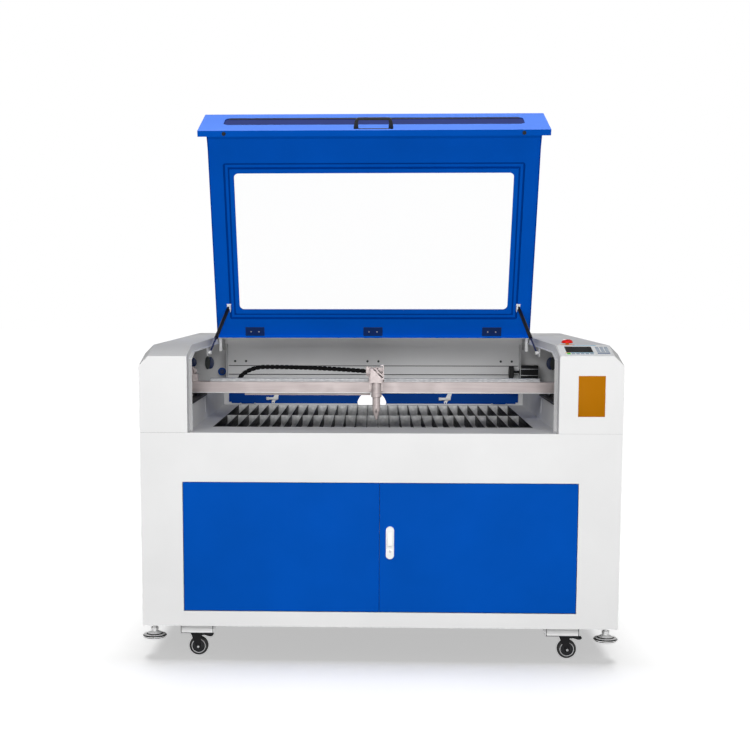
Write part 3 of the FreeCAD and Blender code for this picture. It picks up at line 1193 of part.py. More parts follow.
save("control_panel", control_panel(), estop_base())
save("estop_button", estop_button())
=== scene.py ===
"""Dresses the laser engraver: finishes, seals, screws, chain links, controls, floor and lamps.

X runs to the machine's right, Y to its back and Z up, in metres; typed lengths are millimetres
times MM. Each piece rides on one body of the part, and most stand for CAD nodes.
"""
import json
import math

import bmesh
import bpy
from mathutils import Matrix, Vector

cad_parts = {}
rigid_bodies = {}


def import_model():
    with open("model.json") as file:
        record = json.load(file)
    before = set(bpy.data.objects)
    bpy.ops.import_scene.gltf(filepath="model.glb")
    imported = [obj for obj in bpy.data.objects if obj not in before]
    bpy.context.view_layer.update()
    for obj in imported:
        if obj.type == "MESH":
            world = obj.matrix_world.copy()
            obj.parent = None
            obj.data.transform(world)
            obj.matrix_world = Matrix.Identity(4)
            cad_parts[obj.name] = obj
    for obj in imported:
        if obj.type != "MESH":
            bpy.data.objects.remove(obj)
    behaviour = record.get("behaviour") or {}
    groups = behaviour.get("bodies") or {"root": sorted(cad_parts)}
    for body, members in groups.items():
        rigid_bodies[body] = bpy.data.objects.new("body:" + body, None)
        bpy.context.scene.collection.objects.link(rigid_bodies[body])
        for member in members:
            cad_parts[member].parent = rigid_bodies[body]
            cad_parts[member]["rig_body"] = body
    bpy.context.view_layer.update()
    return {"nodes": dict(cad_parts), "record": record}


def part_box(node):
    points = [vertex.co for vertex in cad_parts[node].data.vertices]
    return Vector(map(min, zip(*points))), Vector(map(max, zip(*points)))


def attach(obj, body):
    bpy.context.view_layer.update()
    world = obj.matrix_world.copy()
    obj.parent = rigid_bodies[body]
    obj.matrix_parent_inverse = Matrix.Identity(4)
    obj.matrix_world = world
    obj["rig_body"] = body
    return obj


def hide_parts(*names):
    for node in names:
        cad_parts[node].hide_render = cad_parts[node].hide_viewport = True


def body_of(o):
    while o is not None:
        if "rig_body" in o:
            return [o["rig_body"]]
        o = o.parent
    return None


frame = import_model()
NODES = frame["nodes"]
BODY_OF = {n: b for b, ns in frame["record"]["behaviour"]["bodies"].items() for n in ns}
JOINT = {j["name"]: j for j in frame["record"]["behaviour"]["joints"]}
SCENE = bpy.context.scene
MM = 0.001

# ---- places taken from the part ----------------------------------------------
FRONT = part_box("base_cabinet")[0][1]    # outer face of the cabinet's front
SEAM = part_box("base_cabinet")[1][2]     # joint between base and covers
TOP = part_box("cover_left")[1][2]        # top of the covers, and of the shut lid
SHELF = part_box("bay_walls")[1][2]       # shelves that carry the side rails
LID_LEFT, LID_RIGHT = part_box("lid_shell")[0][0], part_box("lid_shell")[1][0]
MID_X = (LID_LEFT + LID_RIGHT) / 2      # middle of lid and bay


def linked(name, data):
    """A new object in the scene."""
    obj = bpy.data.objects.new(name, data)
    SCENE.collection.objects.link(obj)
    return obj


# ---- camera ------------------------------------------------------------------
CAMERA_AT = (-0.0179, -5.8556, 1.4509)
CAMERA_PITCH = 6.67                     # degrees below level
CAMERA_YAW = 2.03                       # degrees towards -X
CAMERA_LENS, SENSOR_WIDTH = 63.80, 36.0
CAMERA_SHIFT = (0.0623, 0.0913)
camera_data = bpy.data.cameras.new("camera")
camera_data.lens = CAMERA_LENS
camera_data.sensor_width = SENSOR_WIDTH
camera_data.shift_x, camera_data.shift_y = CAMERA_SHIFT
camera = linked("camera", camera_data)
camera.location = CAMERA_AT
camera.rotation_euler = (math.radians(90 - CAMERA_PITCH), 0, math.radians(CAMERA_YAW))
SCENE.camera = camera
SCENE.view_settings.view_transform = "Standard"


# ---- shader helpers ----------------------------------------------------------
def rgb(text):
    """sRGB hex to a linear colour."""
    parts = [int(text[i:i + 2], 16) / 255 for i in (1, 3, 5)]
    return [c / 12.92 if c <= 0.04045 else ((c + 0.055) / 1.055) ** 2.4 for c in parts] + [1.0]


def add(tree, kind, inputs=None, **settings):
    """One node with its settings, values and links."""
    n = tree.nodes.new(kind)
    for key, value in settings.items():
        setattr(n, key, value)
    for key, value in (inputs or {}).items():
        socket = n.inputs[key]
        if isinstance(value, bpy.types.NodeSocket):
            tree.links.new(value, socket)
        else:
            socket.default_value = value
    return n


def emptied(owner):
    """The node tree of a material or world, without its default nodes."""
    owner.use_nodes = True
    owner.node_tree.nodes.clear()
    return owner.node_tree


def finish_of(name, metallic, **sockets):
    """An empty finish: material, tree and its Principled shader."""
    m = bpy.data.materials.new(name)
    t = emptied(m)
    shader = add(t, "ShaderNodeBsdfPrincipled", {"Metallic": metallic, **sockets})
    add(t, "ShaderNodeOutputMaterial", {"Surface": shader.outputs["BSDF"]})
    return m, t, shader


def place(t, scale=(1, 1, 1)):
    """Object coordinates, stretched by scale."""
    coords = add(t, "ShaderNodeTexCoord").outputs["Object"]
    return add(t, "ShaderNodeMapping", {"Vector": coords, "Scale": scale}).outputs["Vector"]


def grain(t, size_mm, detail=2.0, stretch=(1, 1, 1)):
    """Noise whose blobs are about size_mm across."""
    return add(t, "ShaderNodeTexNoise", {"Vector": place(t, stretch), "Scale": 1000.0 / size_mm,
                                         "Detail": detail, "Roughness": 0.5}).outputs["Fac"]


def spread(t, value, low, high):
    """Maps noise, which keeps near a half, onto low to high."""
    return add(t, "ShaderNodeMapRange", {"Value": value, "From Min": 0.3, "From Max": 0.7,
                                         "To Min": low, "To Max": high}).outputs["Result"]


def drift(t, shader, base, other, noise):
    """Base colour that wanders with a noise between two near colours."""
    mix = add(t, "ShaderNodeMix", {"Factor": spread(t, noise, 0, 1), 6: rgb(base), 7: rgb(other)},
              data_type="RGBA")
    t.links.new(mix.outputs[2], shader.inputs["Base Color"])


def haze(t, shader, noise, low, high):
    """Roughness that wanders with a noise from low to high."""
    t.links.new(spread(t, noise, low, high), shader.inputs["Roughness"])


def relief(t, shader, height, depth_mm, strength):
    """Fine bumps of a finish."""
    bump = add(t, "ShaderNodeBump", {"Height": height, "Distance": depth_mm * MM, "Strength": strength})
    t.links.new(bump.outputs["Normal"], shader.inputs["Normal"])


# ---- finishes ----------------------------------------------------------------
SPECULAR = "Specular IOR Level"


def powder_coat(name, base, other, rough=0.5, sheen=0.35):
    # Polyester powder coat on steel: the film cures with a soft orange-peel ripple of
    # 1 to 2 mm, drawn at 5 mm here so that it shows, and slow changes of gloss.
    m, t, s = finish_of(name, 0.0, IOR=1.5)
    s.inputs[SPECULAR].default_value = sheen
    drift(t, s, base, other, grain(t, 240, 3))
    haze(t, s, grain(t, 60, 3), rough - 0.05, rough + 0.06)
    relief(t, s, grain(t, 5, 1), 0.12, 0.35)
    return m


def ground_steel(name, base, other, lay=(1, 1, 14), rough=0.32):
    # Ground and lightly oiled steel: fine lines along the grinding direction.
    m, t, s = finish_of(name, 1.0)
    lines = grain(t, 9, 4, lay)
    drift(t, s, base, other, lines)
    haze(t, s, lines, rough - 0.08, rough + 0.1)
    relief(t, s, lines, 0.05, 0.3)
    return m


def zinc_plate(name, base, other, metal=0.85):
    # Zinc-plated pressed sheet: cloudy crystals 14 mm across, half matt. A low share of
    # metal stands for dull, white-rusted zinc.
    m, t, s = finish_of(name, metal)
    cells = add(t, "ShaderNodeTexVoronoi", {"Vector": place(t), "Scale": 1000.0 / 14})
    drift(t, s, base, other, cells.outputs["Distance"])
    haze(t, s, grain(t, 20, 3), 0.36, 0.52)
    relief(t, s, grain(t, 3, 2), 0.03, 0.4)
    return m


def anodised(name, base, other):
    # Drawn and anodised aluminium: long die lines along X, satin, slightly warm.
    m, t, s = finish_of(name, 0.25)
    s.inputs[SPECULAR].default_value = 0.2
    lines = grain(t, 7, 3, (0.04, 1, 1))
    drift(t, s, base, other, lines)
    haze(t, s, grain(t, 40, 2), 0.40, 0.50)
    relief(t, s, lines, 0.05, 0.25)
    return m


def machined(name, base, other):
    # Turned and milled aluminium, bead-blasted: fine even sparkle.
    m, t, s = finish_of(name, 0.1)
    s.inputs[SPECULAR].default_value = 0.12
    drift(t, s, base, other, grain(t, 12, 3))
    haze(t, s, grain(t, 3, 2), 0.30, 0.42)
    relief(t, s, grain(t, 1.5, 2), 0.04, 0.35)
    return m


def moulded(name, base, other, rough=0.48, size=1.8, sheen=0.2):
    # Injection-moulded polyamide or ABS: spark-eroded texture under a millimetre, drawn coarser.
    m, t, s = finish_of(name, 0.0, IOR=1.52)
    s.inputs[SPECULAR].default_value = sheen
    drift(t, s, base, other, grain(t, 30, 3))
    haze(t, s, grain(t, 8, 2), rough - 0.06, rough + 0.08)
    relief(t, s, grain(t, size, 2), 0.06, 0.5)
    return m


def rubber(name, base, other):
    # Vulcanised rubber: dull, slightly dusty, with a soft mottle.
    m, t, s = finish_of(name, 0.0, IOR=1.5)
    drift(t, s, base, other, grain(t, 14, 4))
    haze(t, s, grain(t, 10, 2), 0.62, 0.8)
    relief(t, s, grain(t, 2.5, 3), 0.08, 0.4)
    return m


def plated(name, base, other, rough, metal=1.0):
    # Nickel-chrome plate over pressed steel, with a faint polishing haze. A low share of
    # metal stands for satin plate, which scatters more than it mirrors.
    m, t, s = finish_of(name, metal)
    drift(t, s, base, other, grain(t, 25, 3))
    haze(t, s, grain(t, 6, 3), rough - 0.05, rough + 0.08)
    relief(t, s, grain(t, 18, 2), 0.05, 0.2)
    return m


def acrylic(name, base, other, cover):
    # Cast acrylic sheet: cover is how much of what lies behind it hides, and the
    # surface has a slow flow from casting.
    m, t, s = finish_of(name, 0.0, IOR=1.49, Alpha=cover)
    s.inputs[SPECULAR].default_value = 0.02
    drift(t, s, base, other, grain(t, 160, 2))
    haze(t, s, grain(t, 90, 2), 0.02, 0.06)
    relief(t, s, grain(t, 220, 1), 0.2, 0.1)
    return m


def film(name, base, other, rough=0.3, sheen=0.03):
    # Printed polyester film of a membrane keypad: even colour, fine velvet texture.
    m, t, s = finish_of(name, 0.0, IOR=1.58)
    s.inputs[SPECULAR].default_value = sheen
    drift(t, s, base, other, grain(t, 9, 2))
    haze(t, s, grain(t, 5, 2), rough - 0.04, rough + 0.06)
    relief(t, s, grain(t, 1.2, 1), 0.02, 0.4)
    return m


# sheet metal
# painted shade: darker blue for the lid's returns and channel walls, the window channel strips and the door
# joint strip
shade_blue = powder_coat("shaded_blue_powder_coat", "#003a90", "#003685", 0.6, 0.0)
white_coat = powder_coat("white_powder_coat", "#f4f4f4", "#f0f0f0", 0.6, 0.02)
grey_coat = powder_coat("light_grey_powder_coat", "#dcdcdc", "#d2d2d3", 0.6, 0.02)
wall_coat = powder_coat("bay_powder_coat", "#dadada", "#d4d4d5", 0.6, 0.02)
# painted shade: a greyer coat for the covers' faces that turn into the bay
bay_shade_coat = powder_coat("grey_painted_bay_shade", "#c2c2c3", "#bababb", 0.6, 0.02)
flap_coat = powder_coat("flap_blue_powder_coat", "#003f93", "#003b8a", 0.5, 0.05)
blue_coat = powder_coat("signal_blue_powder_coat", "#0054bd", "#0050b4", 0.55, 0.02)
# painted highlight: the lid's blue made paler for the lip's outer face, standing for its sheen
lip_highlight_coat = powder_coat("painted_lip_sheen_blue", "#6796ff", "#6391fb", 0.6, 0.0)
hinge_blue = powder_coat("hinge_blue_lacquer", "#052a63", "#041f4c", 0.4, 0.4)
orange_plate = powder_coat("orange_lacquered_plate", "#bd7708", "#b37006", 0.55, 0.03)
# painted shade: dark finish for the castor boxes' rounded edges and outline lines
castor_shade_coat = powder_coat("painted_castor_edge_shade", "#4a4b4d", "#3c3d3f", 0.5, 0.1)
black_steel = powder_coat("black_chassis_lacquer", "#121214", "#0c0c0e", 0.42, 0.15)
# bare and plated metal
zinc = zinc_plate("zinc_plated_sheet", "#b9babc", "#a6a7aa")
rail_zinc = zinc_plate("zinc_plated_rail", "#b4b5b7", "#a5a6a9", 0.1)
bed_zinc = zinc_plate("galvanised_bed_bars", "#e6e6e6", "#d2d3d3", 0.15)
blade_steel = ground_steel("blackened_blade_steel", "#17191b", "#0d0e10", (1, 0.06, 1), 0.45)
steel = ground_steel("ground_steel", "#b4b6ba", "#9fa1a6", (0.06, 1, 1))
rod_chrome = plated("blued_rod", "#2f386e", "#272f5f", 0.3)
foot_chrome = plated("chromed_foot", "#eeeeee", "#dededd", 0.3, 0.3)
# painted reflection: a dark finish for the chamfers of the chromed feet
foot_dark_reflection = plated("chrome_painted_dark_reflection", "#1c1d1f", "#141517", 0.25)
pale_metal = machined("bead_blasted_aluminium", "#c9bebc", "#b6abaa")
beam_metal = anodised("drawn_aluminium", "#b1a7a6", "#a89e9d")
# painted highlight: bright finish for the top faces of the bed's front rim
bed_rim_highlight = anodised("bed_rim_highlight", "#e8e8ea", "#dadadd")
# plastics, rubber and sheet acrylic
fitting_grey = moulded("grey_polyamide", "#4c504f", "#424645")
black_abs = moulded("black_abs", "#191a1c", "#101113")
chain_nylon = moulded("black_polyamide", "#070708", "#040405", 0.5, sheen=0.04)
white_nylon = moulded("white_polyamide", "#f0f0f0", "#e4e4e4", 0.4)
gland_blue = moulded("blue_polyamide", "#1d55ad", "#174a9c", 0.4)
ring_grey = moulded("grey_hub_plastic", "#c9c9ca", "#b8b8ba", 0.4)
hub_grey = moulded("dark_hub_plastic", "#222325", "#18191b", 0.4)
lock_white = moulded("white_lacquered_zamak", "#fdfdfd", "#f8f8f8", 0.4, 4)
stop_red = moulded("red_abs", "#e3140c", "#c9100a", 0.3, 3)
stop_amber = moulded("amber_abs", "#e29a1a", "#d48a10", 0.35, 3)
tyre_rubber = rubber("tyre_rubber", "#101011", "#0a0a0b")
belt_rubber = rubber("belt_rubber", "#161617", "#0f0f10")
clear = acrylic("clear_acrylic", "#f4f8fc", "#fbfdff", 0.03)
smoked = acrylic("blue_tinted_acrylic", "#00287e", "#002474", 1.0)
# printed film of the panel
key_film = film("white_panel_film", "#fdfefe", "#f9fbfc", 0.4, 0.3)
key_face = film("blue_grey_key_film", "#b4bfcc", "#a8b4c2")
key_dark = film("dark_blue_grey_key_film", "#7f8fa6", "#72839b")
key_sky = film("sky_blue_key_film", "#8fd3ee", "#7fc6e4")
key_green = film("green_key_film", "#22d32a", "#1cc224")
key_amber = film("amber_key_film", "#e6a51c", "#dc9a14")
screen_black = film("display_glass", "#030404", "#010202", 0.5)


# ---- building pieces ---------------------------------------------------------
def settle(name, mesh, body, mats, stands_for=(), smooth=32):
    """Makes the mesh a piece that rides on a body and stands for CAD nodes."""
    if not mesh.materials:
        for m in mats:
            mesh.materials.append(m)
    if not mesh.has_custom_normals:
        mesh.shade_smooth()
        mesh.set_sharp_from_angle(angle=math.radians(smooth))
    obj = linked(name, mesh)
    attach(obj, body)
    if stands_for:
        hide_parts(*stands_for)
    return obj


def baked(obj):
    """The evaluated mesh of an object, which is then removed."""
    bpy.context.view_layer.update()
    graph = bpy.context.evaluated_depsgraph_get()
    mesh = bpy.data.meshes.new_from_object(obj.evaluated_get(graph), depsgraph=graph)
    bpy.data.objects.remove(obj)
    return mesh


def dressed(node, mats, bevel=0.6, choose=None, segments=2, drop=None, edge=-1):
    """The CAD solid, welded, with its sheet edges rounded over by bevel millimetres.

    choose gives a face's finish from its centre and normal, drop names faces to leave out, and
    edge is the finish of the rounded edges, if they have their own.
    """
    mats = mats if isinstance(mats, list) else [mats]
    source = NODES[node].data
    mesh = bpy.data.meshes.new(node + "_finish")
    mesh.from_pydata([v.co for v in source.vertices], [], [p.vertices[:] for p in source.polygons])
    bm = bmesh.new()
    bm.from_mesh(mesh)
    bmesh.ops.remove_doubles(bm, verts=bm.verts, dist=2e-6)
    bmesh.ops.dissolve_limit(bm, angle_limit=math.radians(0.4), verts=bm.verts, edges=bm.edges)
    if drop:
        unwanted = [f for f in bm.faces if drop(f.calc_center_median())]
        bmesh.ops.delete(bm, geom=unwanted, context="FACES")
    if choose:
        for f in bm.faces:
            f.material_index = choose(f.calc_center_median(), f.normal)
    bm.to_mesh(mesh)
    bm.free()
    if bevel:
        obj = linked(node + "_work", mesh)
        for m in mats:
            mesh.materials.append(m)
        mod = obj.modifiers.new("round_over", "BEVEL")
        mod.width = bevel * MM
        mod.segments = segments
        mod.material = edge
        mod.limit_method = "ANGLE"
        mod.angle_limit = math.radians(35)
        mesh.shade_smooth()
        obj.modifiers.new("even_faces", "WEIGHTED_NORMAL").weight = 90
        mesh = baked(obj)
    return settle(node + "_finish", mesh, BODY_OF[node], mats, [node])


def dress_all(*rows):
    """Plainly finished nodes, given as (node, finish, edge radius)."""
    for row in rows:
        dressed(*row)


def seat(at, axis):
    """Matrix that carries local +Z to axis at a point."""
    way = Vector((0, 0, 1)).rotation_difference(Vector(axis))
    return Matrix.Translation(at) @ way.to_matrix().to_4x4()


def turn(bm, profile, where, steps=48, mats=None):
    """Revolves a closed (radius, height) outline about local Z; mats gives a finish per side."""
    rings = []
    for r, h in profile:
        if r < 1e-7:
            rings.append([bm.verts.new(where @ Vector((0, 0, h)))])
        else:
            rings.append([bm.verts.new(where @ Vector((r * math.cos(a), r * math.sin(a), h)))
                          for a in (2 * math.pi * k / steps for k in range(steps))])
    for i, a in enumerate(rings):
        b = rings[(i + 1) % len(rings)]
        if len(a) == 1 and len(b) == 1:
            continue
        for k in range(steps):
            j = (k + 1) % steps
            loop = [a[k % len(a)], a[j % len(a)], b[j % len(b)], b[k % len(b)]]
            face = bm.faces.new(list(dict.fromkeys(loop)))
            face.material_index = mats[i] if mats else 0
    return bm


def block(bm, low, high, radius, mat=0, where=Matrix(), steps=2):
    """A box with rounded edges."""
    before = set(bm.faces)
    corners = bmesh.ops.create_cube(bm, size=1.0)["verts"]
    centre = (Vector(low) + Vector(high)) / 2
    size = Vector(high) - Vector(low)
    for v in corners:
        v.co = Vector([v.co[i] * size[i] + centre[i] for i in range(3)])
    edges = list({e for v in corners for e in v.link_edges})
    bmesh.ops.bevel(bm, geom=edges, offset=radius, segments=steps, profile=0.5, affect="EDGES")
    faces = set(bm.faces) - before
    verts = {v for f in faces for v in f.verts}
    for f in faces:
        f.material_index = mat
    bmesh.ops.transform(bm, matrix=where, verts=list(verts))
    return bm


def made(name, bm, body, mats, stands_for=(), smooth=32):
    """A piece from a finished bmesh."""
    bmesh.ops.recalc_face_normals(bm, faces=bm.faces)
    mesh = bpy.data.meshes.new(name)
    bm.to_mesh(mesh)
    bm.free()
    return settle(name, mesh, body, mats, stands_for, smooth)


def scaled(profile):
    """An outline given in millimetres."""
    return [(r * MM, h * MM) for r, h in profile]


def middle(node):
    """Middle of a CAD node's box."""
    low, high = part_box(node)
    return (Vector(low) + Vector(high)) / 2


# ---- geometry-node tools -----------------------------------------------------
def new_tree(name, sockets):
    """A geometry tree with the named inputs, and its group input's sockets."""
    g = bpy.data.node_groups.new(name, "GeometryNodeTree")
    g.interface.new_socket("Geometry", in_out="INPUT", socket_type="NodeSocketGeometry")
    for label, kind in sockets:
        g.interface.new_socket(label, in_out="INPUT", socket_type=kind)
    g.interface.new_socket("Geometry", in_out="OUTPUT", socket_type="NodeSocketGeometry")
    return g, add(g, "NodeGroupInput").outputs


def end_tree(g, instances, finish):
    """Makes the instances real, coats them and sends them out."""
    real = add(g, "GeometryNodeRealizeInstances", {"Geometry": instances.outputs[0]})
    coat = add(g, "GeometryNodeSetMaterial", {"Geometry": real.outputs[0], "Material": finish})
    add(g, "NodeGroupOutput", {"Geometry": coat.outputs[0]})
    return g


def run_tree(base, tree, values):
    """Runs a tree on an object with its inputs given by name, and returns the plain mesh."""
    mod = base.modifiers.new("make", "NODES")
    mod.node_group = tree
    names = {i.name: i.identifier for i in tree.interface.items_tree if i.in_out == "INPUT"}
    for label, value in values.items():
        mod[names[label]] = value
    mesh = baked(base)
    mesh.materials.clear()
    return mesh


def fixings_tree():
    """One head on every point, its +Z along the point's facing."""
    g, gin = new_tree("fixings", [("Head", "NodeSocketObject"), ("Size", "NodeSocketFloat"),
                                  ("Finish", "NodeSocketMaterial")])
    head = add(g, "GeometryNodeObjectInfo", {"Object": gin["Head"]})
    facing = add(g, "GeometryNodeInputNamedAttribute", {"Name": "facing"}, data_type="FLOAT_VECTOR")
    turned = add(g, "FunctionNodeAlignRotationToVector", {"Vector": facing.outputs[0]}, axis="Z")
    size = add(g, "ShaderNodeCombineXYZ", {"X": gin["Size"], "Y": gin["Size"], "Z": gin["Size"]})
    heads = add(g, "GeometryNodeInstanceOnPoints", {
        "Points": gin["Geometry"], "Instance": head.outputs["Geometry"],
        "Rotation": turned.outputs[0], "Scale": size.outputs[0]})
    return end_tree(g, heads, gin["Finish"])


def links_tree():
    """Links set end to end along a curve, each turned to the run of the curve."""
    g, gin = new_tree("links", [("Link", "NodeSocketObject"), ("Pitch", "NodeSocketFloat"),
                                ("Finish", "NodeSocketMaterial")])
    line = add(g, "GeometryNodeMeshToCurve", {"Mesh": gin["Geometry"]})
    run = add(g, "GeometryNodeResampleCurve", {"Curve": line.outputs[0], "Length": gin["Pitch"]},
              mode="LENGTH")
    along = add(g, "GeometryNodeInputTangent")
    turned = add(g, "FunctionNodeAlignRotationToVector", {"Vector": along.outputs[0]},
                 axis="X", pivot_axis="Y")
    link = add(g, "GeometryNodeObjectInfo", {"Object": gin["Link"]})
    row = add(g, "GeometryNodeInstanceOnPoints", {
        "Points": run.outputs[0], "Instance": link.outputs["Geometry"], "Rotation": turned.outputs[0]})
    return end_tree(g, row, gin["Finish"])


def pattern(name, bm):
    """A small helper object that trees repeat; removed at the end."""
    mesh = bpy.data.meshes.new(name)
    bmesh.ops.recalc_face_normals(bm, faces=bm.faces)
    bm.to_mesh(mesh)
    bm.free()
    return linked(name, mesh)


def screw_head():
    """Pan head of unit radius with a sunken drive."""
    profile = [(0, 0.0), (1.0, 0.0), (1.0, 0.16), (0.86, 0.42), (0.55, 0.56), (0.34, 0.58), (0.26, 0.30),
               (0, 0.24)]
    return pattern("pan_head", turn(bmesh.new(), profile, Matrix(), 16))


FIXINGS = fixings_tree()
PAN_HEAD = screw_head()


def fixings(name, body, places, finish, radius):
    """Screws of one radius at (point, facing) places."""
    mesh = bpy.data.meshes.new(name + "_points")
    mesh.from_pydata([p for p, _ in places], [], [])
    facing = mesh.attributes.new("facing", "FLOAT_VECTOR", "POINT")
    for i, (_, way) in enumerate(places):
        facing.data[i].vector = way
    heads = run_tree(linked(name + "_points", mesh), FIXINGS,
                     {"Head": PAN_HEAD, "Size": radius * MM, "Finish": finish})
    return settle(name, heads, body, [finish], smooth=40)


# ---- sheet metal -------------------------------------------------------------
SEAM_ROUND = 2.2            # folded edges, which also draw the joint between covers and base
NOSE_REACH = 80 * MM        # how far back the noses beside the bay reach
BAY_SLACK = 30 * MM
BACK_OF_NOSE = 10 * MM


def cover_part(c, n):
    """Painted shade: faces turned inwards round the bay, and front-facing faces set back from the front,
    take a greyer coat than the outside.
    """
    inward = n.x > 0.9 if c.x < 0 else n.x < -0.9
    by_bay = inward and c.y < FRONT + NOSE_REACH and LID_LEFT - BAY_SLACK < c.x < LID_RIGHT + BAY_SLACK
    return 1 if by_bay or (n.y < -0.9 and c.y > FRONT + BACK_OF_NOSE) else 0


def castor_line_shade():
    """Painted shade: a dark line round the front face of each front castor box, drawing its outline."""
    near, far = (Vector(v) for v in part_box("castor_boxes"))
    line, out, across, soft = 2.6 * MM, 0.5 * MM, 128 * MM, 0.1 * MM
    y0, y1 = near.y - out, near.y + out
    left, right = near.x, near.x + across
    bm = bmesh.new()
    for half in (Matrix(), Matrix.Scale(-1, 4, (1, 0, 0))):
        block(bm, (left, y0, near.z), (left + line, y1, far.z), soft, 0, half, 1)
        block(bm, (left, y0, near.z), (right, y1, near.z + line), soft, 0, half, 1)
        block(bm, (right - line, y0, near.z), (right, y1, far.z), soft, 0, half, 1)
    return bm


dressed("base_cabinet", white_coat, SEAM_ROUND, segments=3)
for cover in ("cover_left", "cover_right"):
    dressed(cover, [white_coat, bay_shade_coat], SEAM_ROUND, cover_part, 3)
dress_all(("rear_deck", white_coat, 0.7), ("back_panel", white_coat, 0.6))
# the rounded edges of the castor boxes take painted shade, drawn as outlines
dressed("castor_boxes", [white_coat, castor_shade_coat], 1.4, edge=1)
made("castor_box_lines", castor_line_shade(), BODY_OF["castor_boxes"], [castor_shade_coat])
dressed("bay_walls", [grey_coat, black_abs], 0.5,
        lambda c, n: 1 if n.z > 0.9 and c.z > SHELF - 1 * MM else 0)
dress_all(("rear_wall", wall_coat, 0.5), ("chip_funnel", wall_coat, 0.5), ("exhaust_duct", zinc, 0.4),
          ("door_left", blue_coat, 0.7), ("door_right", blue_coat, 0.7), ("rear_flap", flap_coat, 0.4))
BED_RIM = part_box("bed_frame")[0][1] + 20 * MM
# the top faces of the bed's front rim take a painted highlight
dressed("bed_frame", [bed_zinc, bed_rim_highlight], 0.3, lambda c, n: 1 if n.z > 0.9 and c.y < BED_RIM else 0)
dressed("knife_blades", blade_steel, 0.0)

# ---- lid ---------------------------------------------------------------------
HINGE = Vector(JOINT["lid_hinge"]["pos_m"])
OPENING = Matrix.Rotation(-math.radians(JOINT["lid_hinge"]["range_deg"][1]), 4, "X")
STANDING = Matrix.Translation(HINGE) @ OPENING @ Matrix.Translation(-HINGE)
SHUT = STANDING.inverted()              # carries the standing lid to where it lies when shut
LIP_OUT = OPENING @ Vector((0, -1, 0))  # way the lip's outer face looks
LINING_OUT = OPENING @ Vector((0, 0, -1))   # way the lining looks
BORDER, CHANNEL, CHANNEL_DEEP, LINING = 18 * MM, 27 * MM, 7 * MM, 11 * MM
PANE_LAP, SLOT_LAP = 8 * MM, 12 * MM    # how far the panes reach behind their frames


def shut_points(node):
    """Points of a CAD node on the lid, carried to where they lie when it is shut."""
    return [SHUT @ v.co for v in NODES[node].data.vertices]


def sight(points, axes, lap):
    """Low and high corner of what shows of a pane, on two axes."""
    return (tuple(min(p[i] for p in points) + lap for i in axes),
            tuple(max(p[i] for p in points) - lap for i in axes))


LIP_DEPTH = 100 * MM
WINDOW = sight([p for p in shut_points("lid_panes") if p.y > FRONT + LIP_DEPTH], (0, 1), PANE_LAP)
SLOT = sight([p for p in shut_points("lid_panes") if p.y < FRONT + LIP_DEPTH], (0, 2), SLOT_LAP)


def lid_part(c, n):
    """Painted highlight on the lip's outer face, painted shade on the returns and channel walls, and blue
    elsewhere, named with the lid shut.
    """
    at, way = SHUT @ c, OPENING.inverted() @ n
    if way.y < -0.95 and at.y < FRONT + 1 * MM:
        return 1
    if way.x > 0.9 and at.x < LID_LEFT + 5 * MM or way.x < -0.9 and at.x > LID_RIGHT - 5 * MM:
        return 2
    reach = BORDER + CHANNEL + 5 * MM
    near = all(WINDOW[0][i] - reach < at[i] < WINDOW[1][i] + reach for i in (0, 1))
    return 2 if near and abs(way.z) < 0.1 else 0


def window_beads():
    """Painted shade: dark blue strips along both edges of the channel round the window."""
    strip_width = 8 * MM
    low_z, high_z = TOP - LINING + CHANNEL_DEEP - 1.0 * MM, TOP - LINING + CHANNEL_DEEP + 0.5 * MM
    bm = bmesh.new()
    for out_by in (BORDER, BORDER + CHANNEL - strip_width):
        x0, x1 = WINDOW[0][0] - out_by, WINDOW[1][0] + out_by
        y0, y1 = WINDOW[0][1] - out_by, WINDOW[1][1] + out_by
        for low, high in (((x0 - strip_width, y0 - strip_width), (x1 + strip_width, y0)),
                          ((x0 - strip_width, y1), (x1 + strip_width, y1 + strip_width)),
                          ((x0 - strip_width, y0), (x0, y1)), ((x1, y0), (x1 + strip_width, y1))):
            block(bm, (*low, low_z), (*high, high_z), 0.5 * MM, 0, STANDING, 1)
    return bm


def slot_seal():
    """Painted shadow: a dark strip along the upper edge of the slot in the lip, where the edge would shade
    the pane.
    """
    (left, _), (right, high_z) = SLOT
    ends, wide = 12 * MM, 18 * MM
    return block(bmesh.new(), (left + ends, FRONT + 0.6 * MM, high_z - wide),
                 (right - ends, FRONT + 2.1 * MM, high_z), 0.3 * MM, 0, STANDING, 1)


def near_pull(point):
    """Whether a point belongs to the pull in the middle of the lip, and not to a bumper."""
    return abs(point.x - MID_X) < 200 * MM


